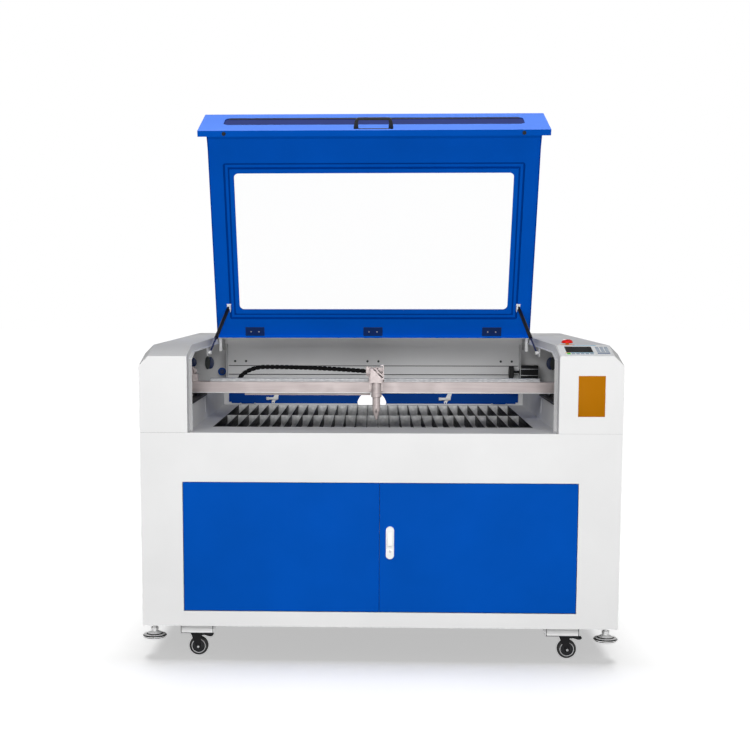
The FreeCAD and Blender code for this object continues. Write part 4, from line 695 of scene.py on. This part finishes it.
def pull_bow():
    """Bow pull with flared feet and a rounded grip, and a thin foot strip."""
    heights = [p.z for p in shut_points("lid_fittings") if near_pull(p)]
    z = (min(heights) + max(heights)) / 2
    bow = [(-80, -0.5), (-79, 12), (-75, 30), (-70, 40), (-62, 45), (62, 45), (70, 40), (75, 30),
           (79, 12), (80, -0.5), (60, -0.5), (62, 24), (60, 35), (-60, 35), (-62, 24), (-60, -0.5)]
    half_grip, strip, strip_foot = 5.5 * MM, 62 * MM, 8 * MM
    bm = bmesh.new()
    lower = [bm.verts.new((MID_X + x * MM, FRONT - out * MM, z - half_grip)) for x, out in bow]
    grown = bmesh.ops.extrude_face_region(bm, geom=[bm.faces.new(lower)])["geom"]
    raised = [v for v in grown if isinstance(v, bmesh.types.BMVert)]
    bmesh.ops.translate(bm, vec=(0, 0, 2 * half_grip), verts=raised)
    bmesh.ops.bevel(bm, geom=list(bm.edges), offset=1.6 * MM, segments=2, profile=0.5, affect="EDGES")
    bmesh.ops.transform(bm, matrix=STANDING, verts=bm.verts)
    return block(bm, (MID_X - strip, FRONT - 1.8 * MM, z - strip_foot),
                 (MID_X + strip, FRONT + 0.1 * MM, z), 0.4 * MM, 0, STANDING, 1)


# the lip takes a painted highlight, the returns and channel walls painted shade
dressed("lid_shell", [blue_coat, lip_highlight_coat, shade_blue], 0.7, lid_part)
# painted shade along the edges of the window channel
made("window_beads", window_beads(), "lid", [shade_blue])
# painted shadow under the slot's upper edge
made("slot_seal", slot_seal(), "lid", [belt_rubber])
dressed("lid_panes", [clear, smoked], 0.0, lambda c, n: 1 if abs(n.dot(LIP_OUT)) > 0.9 else 0)
dressed("lid_fittings", black_abs, 1.0, drop=near_pull)
made("lid_pull_bow", pull_bow(), "lid", [black_abs])

# ---- lid hardware ------------------------------------------------------------
STUD_FOOT = HINGE.z + 60 * MM           # the strut studs sit above the hinge leaves
HINGE_W = 87 * MM
LEAF_Y, LEAF_Z = HINGE.y - 26 * MM, HINGE.z - 3.6 * MM     # screws of the moving leaves, lid shut
deck_low, deck_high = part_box("deck_hinges")
HINGE_X = (deck_low[0] + HINGE_W / 2, (deck_low[0] + deck_high[0]) / 2, deck_high[0] - HINGE_W / 2)
dressed("lid_hinges", [hinge_blue, white_nylon], 0.3, lambda c, n: 1 if c.z > STUD_FOOT else 0)
dressed("deck_hinges", hinge_blue, 0.3)
fixings("lid_hinge_screws", "lid", [(STANDING @ Vector((x + dx * MM, LEAF_Y, LEAF_Z)), LINING_OUT)
                                    for x in HINGE_X for dx in (-18, 18)], zinc, 3.4)
fixings("deck_hinge_screws", "cabinet", [((x + dx * MM, deck_high[1] - 14 * MM, deck_high[2]), (0, 0, 1))
                                         for x in HINGE_X for dx in (-22, 22)], zinc, 3.6)
dressed("bay_brackets", [white_nylon, zinc], 0.4, lambda c, n: 0 if c.z > SEAM + 200 * MM else 1)
for hand in "lr":
    socket_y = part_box("strut_rod_" + hand)[0][1] + 16 * MM
    dressed("strut_rod_" + hand, [rod_chrome, white_nylon], 0.2, lambda c, n: 1 if c.y < socket_y else 0)
    dressed("strut_body_" + hand, black_steel, 0.6)


# ---- doors and lock ----------------------------------------------------------
def joint_rubber():
    """Rubber in the joints round the door opening, and between covers and base."""
    low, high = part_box("door_left")[0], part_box("door_right")[1]
    gap, wide, soft = 2.2 * MM, 1.0 * MM, 0.2 * MM
    x0, x1, z0, z1 = low[0] - gap, high[0] + gap, low[2] - gap, high[2] + gap
    y0, y1 = FRONT + 0.4 * MM, FRONT + 1.9 * MM
    bm = bmesh.new()
    for (xa, za), (xb, zb) in (((x0, z0), (x1, z0 + wide)), ((x0, z1 - wide), (x1, z1)),
                               ((x0, z0), (x0 + wide, z1)), ((x1 - wide, z0), (x1, z1))):
        block(bm, (xa, y0, za), (xb, y1, zb), soft, steps=1)
    ends, half = 2 * MM, 1.5 * MM
    for node in ("cover_left", "cover_right"):
        low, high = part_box(node)
        block(bm, (low[0] + ends, FRONT + 0.15 * MM, SEAM - half),
              (high[0] - ends, FRONT + 1.2 * MM, SEAM + half), soft, steps=1)
    return bm


def door_edge_seal():
    """A seal strip on the left leaf's edge, where the leaves meet, coloured in the painted-shade blue that
    draws the shade in the joint.
    """
    low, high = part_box("door_left")
    return block(bmesh.new(), (high[0] - 0.2 * MM, FRONT + 1.2 * MM, low[2] + 2 * MM),
                 (high[0] + 1.4 * MM, FRONT + 2.4 * MM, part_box("door_right")[1][2] - 2 * MM),
                 0.2 * MM, steps=1)


made("joint_rubber", joint_rubber(), "cabinet", [belt_rubber])
# a strip in the painted-shade blue in the doors' joint
made("door_edge_seal", door_edge_seal(), BODY_OF["door_left"], [shade_blue])
dress_all(("door_lock", lock_white, 0.5), ("lock_paddle", lock_white, 0.6))

# ---- undercarriage -----------------------------------------------------------
# half of a wheel's section as (radius, distance from the middle): hub, ring and tyre
HALF_WHEEL = [(4.2, 13.4), (9, 13.4), (10.5, 10), (22.5, 9.6), (25.5, 12.4), (28, 12.6), (29, 13),
              (33, 12.6), (36, 10.5), (37.5, 6)]
WHEEL = [(r, -h) for r, h in HALF_WHEEL] + HALF_WHEEL[::-1]
WHEEL_PARTS = [0, 0, 0, 0, 1, 2, 2, 2, 2, 2, 2, 2, 2, 2, 1, 0, 0, 0, 0, 0]


def foot_part(c, n):
    """Painted reflection: the chamfers of the turned pad take a dark finish beside its bright faces."""
    return 1 if 0.55 < abs(n.z) < 0.85 else 0


def dress_corner(tag):
    """Castor and levelling foot of one corner."""
    dressed("castor_fork_" + tag, black_steel, 0.5)
    dressed("levelling_foot_" + tag, [foot_chrome, foot_dark_reflection], 0.0, foot_part)
    if tag[0] == "f":
        dressed("brake_pedal_" + tag, black_abs, 0.5)
    wheel = "castor_wheel_" + tag
    centre = middle(wheel)
    bm = turn(bmesh.new(), scaled(WHEEL), seat(centre, (0, 1, 0)), 56, WHEEL_PARTS)
    made(wheel + "_tyre", bm, BODY_OF[wheel], [hub_grey, ring_grey, tyre_rubber], [wheel])
    fork_low, fork_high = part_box("castor_fork_" + tag)
    ends = [(Vector((centre.x, y, centre.z)), (0, way, 0))
            for y, way in ((fork_low[1], -1), (fork_high[1], 1))]
    fixings("castor_axle_" + tag, BODY_OF["castor_fork_" + tag], ends, zinc, 5)


dressed("pins_and_nuts", zinc, 0.3)
for corner in ("fl", "fr", "bl", "br"):
    dress_corner(corner)

# ---- gantry and head ---------------------------------------------------------
CAP_EDGES = (0.27, 0.74)    # inner edges of the motor's end caps, as shares of its height
BEAM_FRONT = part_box("x_beam")[0][1]
BEAM_FOOT = min(v.co.z for v in NODES["x_beam"].data.vertices if v.co.y < BEAM_FRONT + 0.3 * MM)


def beam_lip():
    """Painted highlight: a bright white strip along the lower edge of the beam's front face."""
    low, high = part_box("x_beam")
    return block(bmesh.new(), (low[0] + 4 * MM, BEAM_FRONT - 0.8 * MM, BEAM_FOOT + 0.2 * MM),
                 (high[0] - 4 * MM, BEAM_FRONT + 0.2 * MM, BEAM_FOOT + 3.4 * MM), 0.3 * MM)


def motor_bands():
    """Bare edges of the motor's end caps."""
    low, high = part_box("y_motor")
    bm = bmesh.new()
    for share in CAP_EDGES:
        z = low[2] + share * (high[2] - low[2])
        block(bm, (low[0] + 1 * MM, low[1] - 0.8 * MM, z - 1.5 * MM),
              (high[0] - 1 * MM, low[1] + 0.2 * MM, z + 1.5 * MM), 0.3 * MM)
    return bm


dressed("x_beam", beam_metal, 0.6)
# painted highlight along the beam's lower edge
made("beam_lip", beam_lip(), "gantry", [white_nylon])
dress_all(("x_rail", rail_zinc, 0.2), ("beam_ends", black_steel, 0.5), ("mirror_two", pale_metal, 0.5),
          ("head_carriage", pale_metal, 0.6), ("head_mirror", pale_metal, 0.4),
          ("focus_tube", pale_metal, 0.3), ("y_rails", black_steel, 0.3), ("drive_belts", belt_rubber, 0.0),
          ("cross_shaft", steel, 0.3), ("idler_pulleys", zinc, 0.3), ("motor_pulley", black_steel, 0.3),
          ("y_motor", black_steel, 0.6))
made("motor_bands", motor_bands(), BODY_OF["y_motor"], [zinc])
dress_all(("flap_latch_l", white_nylon, 0.5), ("flap_latch_r", white_nylon, 0.5))

# ---- cable chain -------------------------------------------------------------
LINK_PITCH, LINK_HALF_H, LINK_HALF_W = 20.0 * MM, 8.0 * MM, 10.0 * MM
LOWER_BEND_W, LOWER_BEND_H = 34.0 * MM, 22.0 * MM
UPPER_BEND_W = 118.0 * MM
CHAIN_SAG = 16.0 * MM
BEND_STEPS, RUN_STEPS = 24, 24


def chain_run():
    """Points along the chain: lower end, tight lower bend, wide upper bend, sagging upper run."""
    low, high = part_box("cable_chain")
    y = middle("cable_chain").y
    z0, z1, tip = low[2] + LINK_HALF_H, high[2] - LINK_HALF_H, low[0] + LINK_HALF_H
    turn_z = z0 + LOWER_BEND_H
    run = [Vector((high[0] - 12 * MM, y, z0))]
    for wide, tall, start in ((LOWER_BEND_W, LOWER_BEND_H, -90), (UPPER_BEND_W, z1 - turn_z, -180)):
        for k in range(BEND_STEPS + 1):
            a = math.radians(start - 90 * k / BEND_STEPS)
            run.append(Vector((tip + wide + wide * math.cos(a), y, turn_z + tall * math.sin(a))))
    x_first, x_last = run[-1].x, high[0] - 30 * MM
    for k in range(1, RUN_STEPS + 1):
        part = k / RUN_STEPS
        run.append(Vector((x_first + (x_last - x_first) * part, y, z1 - CHAIN_SAG * part ** 2)))
    return run


def chain_link():
    """Two waisted side plates with a pin boss, and a bar above and below."""
    bm = bmesh.new()
    p, h, w = LINK_PITCH, LINK_HALF_H, LINK_HALF_W
    boss = scaled([(0, 0), (3.2, 0), (2.6, 1.2), (0, 1.2)])
    for s in (-1, 1):
        block(bm, (-0.52 * p, s * w - 0.9 * MM, -h), (0.26 * p, s * w + 0.9 * MM, h), 0.8 * MM, steps=1)
        block(bm, (0.0, s * w * 0.84 - 0.7 * MM, -0.9 * h), (0.62 * p, s * w * 0.84 + 0.7 * MM, 0.8 * h),
              0.7 * MM, steps=1)
        turn(bm, boss, seat((-0.28 * p, s * w + s * 0.6 * MM, 0), (0, s, 0)), 12)
        block(bm, (-0.42 * p, -w, s * h - 0.8 * MM), (0.2 * p, w, s * h + 0.8 * MM), 0.6 * MM, steps=1)
    return pattern("chain_link", bm)


def chain_mesh(link):
    """The links set along the chain's run."""
    points = chain_run()
    mesh = bpy.data.meshes.new("chain_run")
    mesh.from_pydata(points, [(i, i + 1) for i in range(len(points) - 1)], [])
    return run_tree(linked("chain_run", mesh), links_tree(),
                    {"Link": link, "Pitch": LINK_PITCH, "Finish": chain_nylon})


LINK = chain_link()
settle("cable_chain_links", chain_mesh(LINK), "gantry", [chain_nylon], ["cable_chain"])

# ---- fittings on the walls of the bay ------------------------------------------
WALL_Y = 459 * MM           # face of the bay's rear wall
SWAGE_Z = (1043, 1084)      # folded edges of its swaged band
FILLER_Z = (1176, 1214)     # fillers in its upper corners
GROMMET_Z = 1105.5          # paired holes above the band
# oval plugs at the ends of the rear wall: from the middle, height, half width, half height,
# how far they stand out, finish
OVALS = ((-862.5, 1099, 24, 24, 4, 1), (-775.5, 1097, 19, 29, 4, 1), (-786.5, 1097, 12, 31, 8, 0),
         (-718.5, 1056, 19, 19, 5, 2), (-718.5, 1056, 11, 11, 7, 1), (837.5, 1097, 19, 29, 4, 1),
         (848.5, 1097, 12, 31, 8, 0))


def wall_fittings():
    """Oval plugs and cable glands seen past the ends of the bay."""
    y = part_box("rear_flap")[1][1] - 4 * MM
    bm = bmesh.new()
    for out, z, half_w, half_h, stand, mat in OVALS:
        oval = seat((MID_X + out * MM, y, z * MM), (0, -1, 0)) @ Matrix.Diagonal((half_w, half_h, 1, 1))
        profile = scaled([(0, -2), (1, -2), (1, stand - 1), (0.9, stand), (0, stand)])
        turn(bm, profile, oval, 32, [mat] * len(profile))
    return bm


def wall_seams():
    """Painted shade: dark lines along the folded edges of the rear wall's swaged band; also the fillers in
    its upper corners.
    """
    bm = bmesh.new()
    half, seam_end, corner_x, corner_half = 1.6, 686.5 * MM, 707.5 * MM, 26 * MM
    for z in SWAGE_Z:
        block(bm, (MID_X - seam_end, WALL_Y - 3.6 * MM, (z - half) * MM),
              (MID_X + seam_end, WALL_Y - 2.2 * MM, (z + half) * MM), 0.3 * MM)
    for x in (MID_X - corner_x, MID_X + corner_x):
        block(bm, (x - corner_half, WALL_Y + 1 * MM, FILLER_Z[0] * MM),
              (x + corner_half, WALL_Y + 2 * MM, FILLER_Z[1] * MM), 0.2 * MM, 1)
    return bm


def rail_guards():
    """Black guards over the front ends of the side rails."""
    bm = bmesh.new()
    for s, x in ((-1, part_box("cover_left")[1][0]), (1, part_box("cover_right")[0][0])):
        low_x, high_x = sorted((x - s * 2.5 * MM, x + s * 0.5 * MM))
        block(bm, (low_x, FRONT + 62 * MM, SHELF + 1 * MM),
              (high_x, FRONT + 500 * MM, BEAM_FOOT - 6 * MM), 0.6 * MM)
    return bm


def grommets():
    """Places in the paired holes of the rear wall."""
    return [(Vector((MID_X + (pair + side) * MM, WALL_Y - 0.2 * MM, GROMMET_Z * MM)), (0, -1, 0))
            for pair in (-630, 0, 630) for side in (-26, 26)]


def back_screws():
    """Places round the edge of the back panel."""
    low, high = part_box("back_panel")
    edge, face = 12 * MM, 751 * MM
    xs = [low[0] + edge + (high[0] - low[0] - 2 * edge) * k / 6 for k in range(7)]
    zs = [low[2] + edge + (high[2] - low[2] - 2 * edge) * k / 3 for k in range(4)]
    rim = [(x, z) for x in xs for z in (zs[0], zs[3])] + [(x, z) for x in (xs[0], xs[6]) for z in zs[1:3]]
    return [((x, face, z), (0, 1, 0)) for x, z in rim]


made("wall_fittings", wall_fittings(), "cabinet", [fitting_grey, hinge_blue, gland_blue])
fixings("wall_grommets", "cabinet", grommets(), fitting_grey, 5.6)
# painted shade lines at the rear wall's swaged band
made("wall_seams", wall_seams(), "cabinet", [belt_rubber, grey_coat])
made("rail_guards", rail_guards(), "cabinet", [black_abs])
fixings("back_panel_screws", "cabinet", back_screws(), zinc, 4.5)

# ---- controls ----------------------------------------------------------------
PANEL_THICK = 1.6
NOSE_DROP, NOSE_DEPTH = 38.0, 145.0     # fall and depth of the cover's sloped nose
NOSE_AT = Vector((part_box("control_panel")[0][0], FRONT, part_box("cover_right")[1][2] - NOSE_DROP * MM))
SLOPE = Matrix.Rotation(math.atan2(NOSE_DROP, NOSE_DEPTH), 4, "X")
# on the panel, in millimetres: u to the right, v up the slope, h out of the panel
ON_PANEL = Matrix.Translation(NOSE_AT) @ SLOPE @ Matrix.Scale(MM, 4)
FROM_PANEL = ON_PANEL.inverted()
DISPLAY_U, DISPLAY_V = (25, 129), 51    # the display lies between and above these
KEYPAD_U, KEYPAD_V = 142, 50            # the keypad right of this, its dark rows below
START_U = 40                            # the start key left of this
COLLAR_V = 148                          # the emergency stop's collar above this


def panel_part(c, n):
    """Which finish a face of the panel has: film, display, keys, dark keys or start key."""
    u, v, h = FROM_PANEL @ c
    if h < PANEL_THICK + 0.1:
        return 0
    if DISPLAY_U[0] < u < DISPLAY_U[1] and v > DISPLAY_V:
        return 1
    if u > KEYPAD_U:
        return 2 if v > KEYPAD_V else 3
    return 5 if u < START_U else 2


def panel_print():
    """Colour blocks printed on the film round the keys."""
    bm = bmesh.new()
    for low, high, mat in (((42, 45), (131, 50), 0), ((21, 42), (40, 50), 1), ((60, 138), (150, 143), 0)):
        block(bm, (*low, PANEL_THICK - 0.1), (*high, PANEL_THICK + 0.25), 0.1, mat, ON_PANEL, 1)
    return bm


dressed("control_panel", [key_film, screen_black, key_face, key_dark, key_sky, key_green], 0.3,
        panel_part, drop=lambda c: (FROM_PANEL @ c).y > COLLAR_V)
made("panel_print", panel_print(), "cabinet", [key_sky, key_amber, key_face])

# emergency stop: mushroom with an amber underside on a short stem, over an amber collar
STOP_AT = seat(Vector((*middle("estop_button").xy, TOP)), (0, 0, 1))
MUSHROOM = [(0, -16), (7, -16), (7, 6), (17, 6.2), (21.5, 7.8), (22.3, 11), (21, 15), (16.5, 18.8),
            (9, 21.2), (0, 22)]
COLLAR = [(7.4, -1), (29, -1), (29, 0.5), (28, 0.9), (7.4, 0.9)]
made("stop_mushroom", turn(bmesh.new(), scaled(MUSHROOM), STOP_AT, 48, [1] * 4 + [0] * 6),
     "emergency_stop", [stop_red, stop_amber], ["estop_button"], 40)
made("stop_collar", turn(bmesh.new(), scaled(COLLAR), STOP_AT, 48), "cabinet", [stop_amber])

# plain coloured plate on the front of the right cover
PLATE_X, PLATE_Z, PLATE_INSET = (753, 855), (964, 1120), 6
PLATE_FACE = FRONT - 1.2 * MM
made("front_plate", block(bmesh.new(), (PLATE_X[0] * MM, PLATE_FACE, PLATE_Z[0] * MM),
                          (PLATE_X[1] * MM, FRONT + 0.2 * MM, PLATE_Z[1] * MM), 0.5 * MM),
     "cabinet", [orange_plate])
fixings("front_plate_rivets", "cabinet", [((x * MM, PLATE_FACE, z * MM), (0, -1, 0))
                                          for x in (PLATE_X[0] + PLATE_INSET, PLATE_X[1] - PLATE_INSET)
                                          for z in (PLATE_Z[0] + PLATE_INSET, PLATE_Z[1] - PLATE_INSET)],
        orange_plate, 2.2)


def lock_plug():
    """Lock barrel with its keyhole."""
    low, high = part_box("door_lock")
    at = Vector((high[0] - 16 * MM, low[1], middle("door_lock").z - 32 * MM))
    plug = scaled([(0, -1), (5, -1), (5, 0.5), (4.4, 0.9), (0, 0.9)])
    bm = turn(bmesh.new(), plug, seat(at, (0, -1, 0)), 24)
    return block(bm, (-0.9 * MM, -1.2 * MM, -3 * MM), (0.9 * MM, 0, 3 * MM), 0.2 * MM, 1,
                 Matrix.Translation(at))


made("lock_plug", lock_plug(), BODY_OF["door_lock"], [zinc, black_abs])
for helper in (PAN_HEAD, LINK):
    bpy.data.objects.remove(helper)

# ---- floor and sky -------------------------------------------------------------
FLOOR_GLOW = 0.50           # what the floor adds of its own where it is looked at
FLOOR_HALF = 40.0           # half the floor's width in metres
AMBIENT = 0.07              # the sky as a source of light
MIRRORED = 0.45             # the sky in a reflection


def greatest(t, first, *others):
    """The greatest of several values."""
    for other in others:
        first = add(t, "ShaderNodeMath", {0: first, 1: other}, operation="MAXIMUM").outputs[0]
    return first


def studio_floor():
    """Pale floor that reads white and keeps the shadow of its own overhead lamp."""
    m = bpy.data.materials.new("studio_floor")
    t = emptied(m)
    path = add(t, "ShaderNodeLightPath").outputs
    # 1 where the floor is looked at, straight or in a reflection
    seen = greatest(t, path["Is Camera Ray"], path["Is Glossy Ray"], path["Is Transmission Ray"])
    glow = add(t, "ShaderNodeMath", {0: seen, 1: FLOOR_GLOW}, operation="MULTIPLY")
    tone = add(t, "ShaderNodeMix", {"Factor": seen, 6: rgb("#404040"), 7: rgb("#f4f4f4")},
               data_type="RGBA")
    plain = add(t, "ShaderNodeBsdfDiffuse", {"Color": tone.outputs[2]})
    lift = add(t, "ShaderNodeEmission", {"Color": rgb("#ffffff"), "Strength": glow.outputs[0]})
    both = add(t, "ShaderNodeAddShader", {0: plain.outputs[0], 1: lift.outputs[0]})
    add(t, "ShaderNodeOutputMaterial", {"Surface": both.outputs[0]})
    mesh = bpy.data.meshes.new("floor")
    s = FLOOR_HALF
    mesh.from_pydata([(-s, -s, 0), (s, -s, 0), (s, s, 0), (-s, s, 0)], [], [(0, 1, 2, 3)])
    mesh.materials.append(m)
    obj = linked("floor", mesh)
    return obj


def studio_world():
    """White to the eye, gentle as a source of light."""
    world = bpy.data.worlds.new("studio")
    SCENE.world = world
    t = emptied(world)
    path = add(t, "ShaderNodeLightPath").outputs
    gentle = add(t, "ShaderNodeMapRange", {"Value": path["Is Glossy Ray"], "To Min": AMBIENT,
                                           "To Max": MIRRORED}).outputs["Result"]
    level = greatest(t, gentle, path["Is Camera Ray"], path["Is Transmission Ray"])
    sky = add(t, "ShaderNodeBackground", {"Color": rgb("#ffffff"), "Strength": level})
    add(t, "ShaderNodeOutputWorld", {"Surface": sky.outputs[0]})


# ---- lamps -------------------------------------------------------------------
LAMP_REACH, LAMP_SIZE = 7.0, 3.0        # metres
LAMP_AIM = Vector((0, 0, 0.9))          # middle of the machine
KEY_POWER, KEY_SIDE, KEY_HEIGHT = 145, 22, 25
LIP_POWER, LIP_HEIGHT = 185, 68
SIDE_POWER, SIDE_TURN, SIDE_HEIGHT = 115, 120, 2
BACK_POWER = 1.3 * KEY_POWER
FILL_POWER, FILL_HEIGHT, FILL_SIZE = 200, -3.5, 2.0
SUN_SPREAD, SUN_POWER, SUN_LEAN = 38, 1.93, 14


def softbox(name, azimuth, elevation, power, size=LAMP_SIZE):
    """A square lamp aimed at the middle of the machine."""
    data = bpy.data.lights.new(name, "AREA")
    data.size = size
    data.energy = power
    lamp = linked(name, data)
    a, e = math.radians(azimuth), math.radians(elevation)
    out = Vector((math.sin(a) * math.cos(e), -math.cos(a) * math.cos(e), math.sin(e)))
    lamp.location = LAMP_AIM + out * LAMP_REACH
    lamp.rotation_euler = out.to_track_quat("Z", "Y").to_euler()
    return lamp


def skylight(name, spread_deg, strength, lean_deg):
    """Parallel light from above, spread_deg wide, leaning lean_deg towards the front."""
    data = bpy.data.lights.new(name, "SUN")
    data.angle = math.radians(spread_deg)
    data.energy = strength
    lamp = linked(name, data)
    lamp.location = (0, 0, 4)
    lamp.rotation_euler = (-math.radians(lean_deg), 0, 0)
    return lamp


def light_only(lamps, name, objects):
    """Lets the lamps light these objects and no others."""
    group = bpy.data.collections.new(name)
    for obj in objects:
        group.objects.link(obj)
    for lamp in lamps:
        lamp.light_linking.receiver_collection = group


def key_pair(prefix):
    """The two front lamps, one on each side."""
    return [softbox(prefix + "key_left", -KEY_SIDE, KEY_HEIGHT, KEY_POWER),
            softbox(prefix + "key_right", KEY_SIDE, KEY_HEIGHT, KEY_POWER)]


floor = studio_floor()
studio_world()
fills = [softbox("side_left", -SIDE_TURN, SIDE_HEIGHT, SIDE_POWER),
         softbox("side_right", SIDE_TURN, SIDE_HEIGHT, SIDE_POWER),
         softbox("back_fill", 180, KEY_HEIGHT, BACK_POWER)]
keys = key_pair("")
fills.append(softbox("front_fill", 0, FILL_HEIGHT, FILL_POWER, FILL_SIZE))
# the raised lid would shade its own lining: its keys cast no shadow
lid_keys = key_pair("lid_") + [softbox("lid_top", 0, LIP_HEIGHT, LIP_POWER)]
for lamp in lid_keys:
    lamp.data.use_shadow = False
overhead = skylight("overhead", SUN_SPREAD, SUN_POWER, SUN_LEAN)

pieces = [o for o in SCENE.objects if o.type == "MESH" and o is not floor]
lid_pieces = [o for o in pieces if body_of(o) == ["lid"]]
light_only(lid_keys, "lit_lid", lid_pieces)
light_only(keys, "lit_rest", [o for o in pieces if o not in lid_pieces])
light_only(fills, "lit_machine", pieces)
light_only([overhead], "lit_floor", [floor])
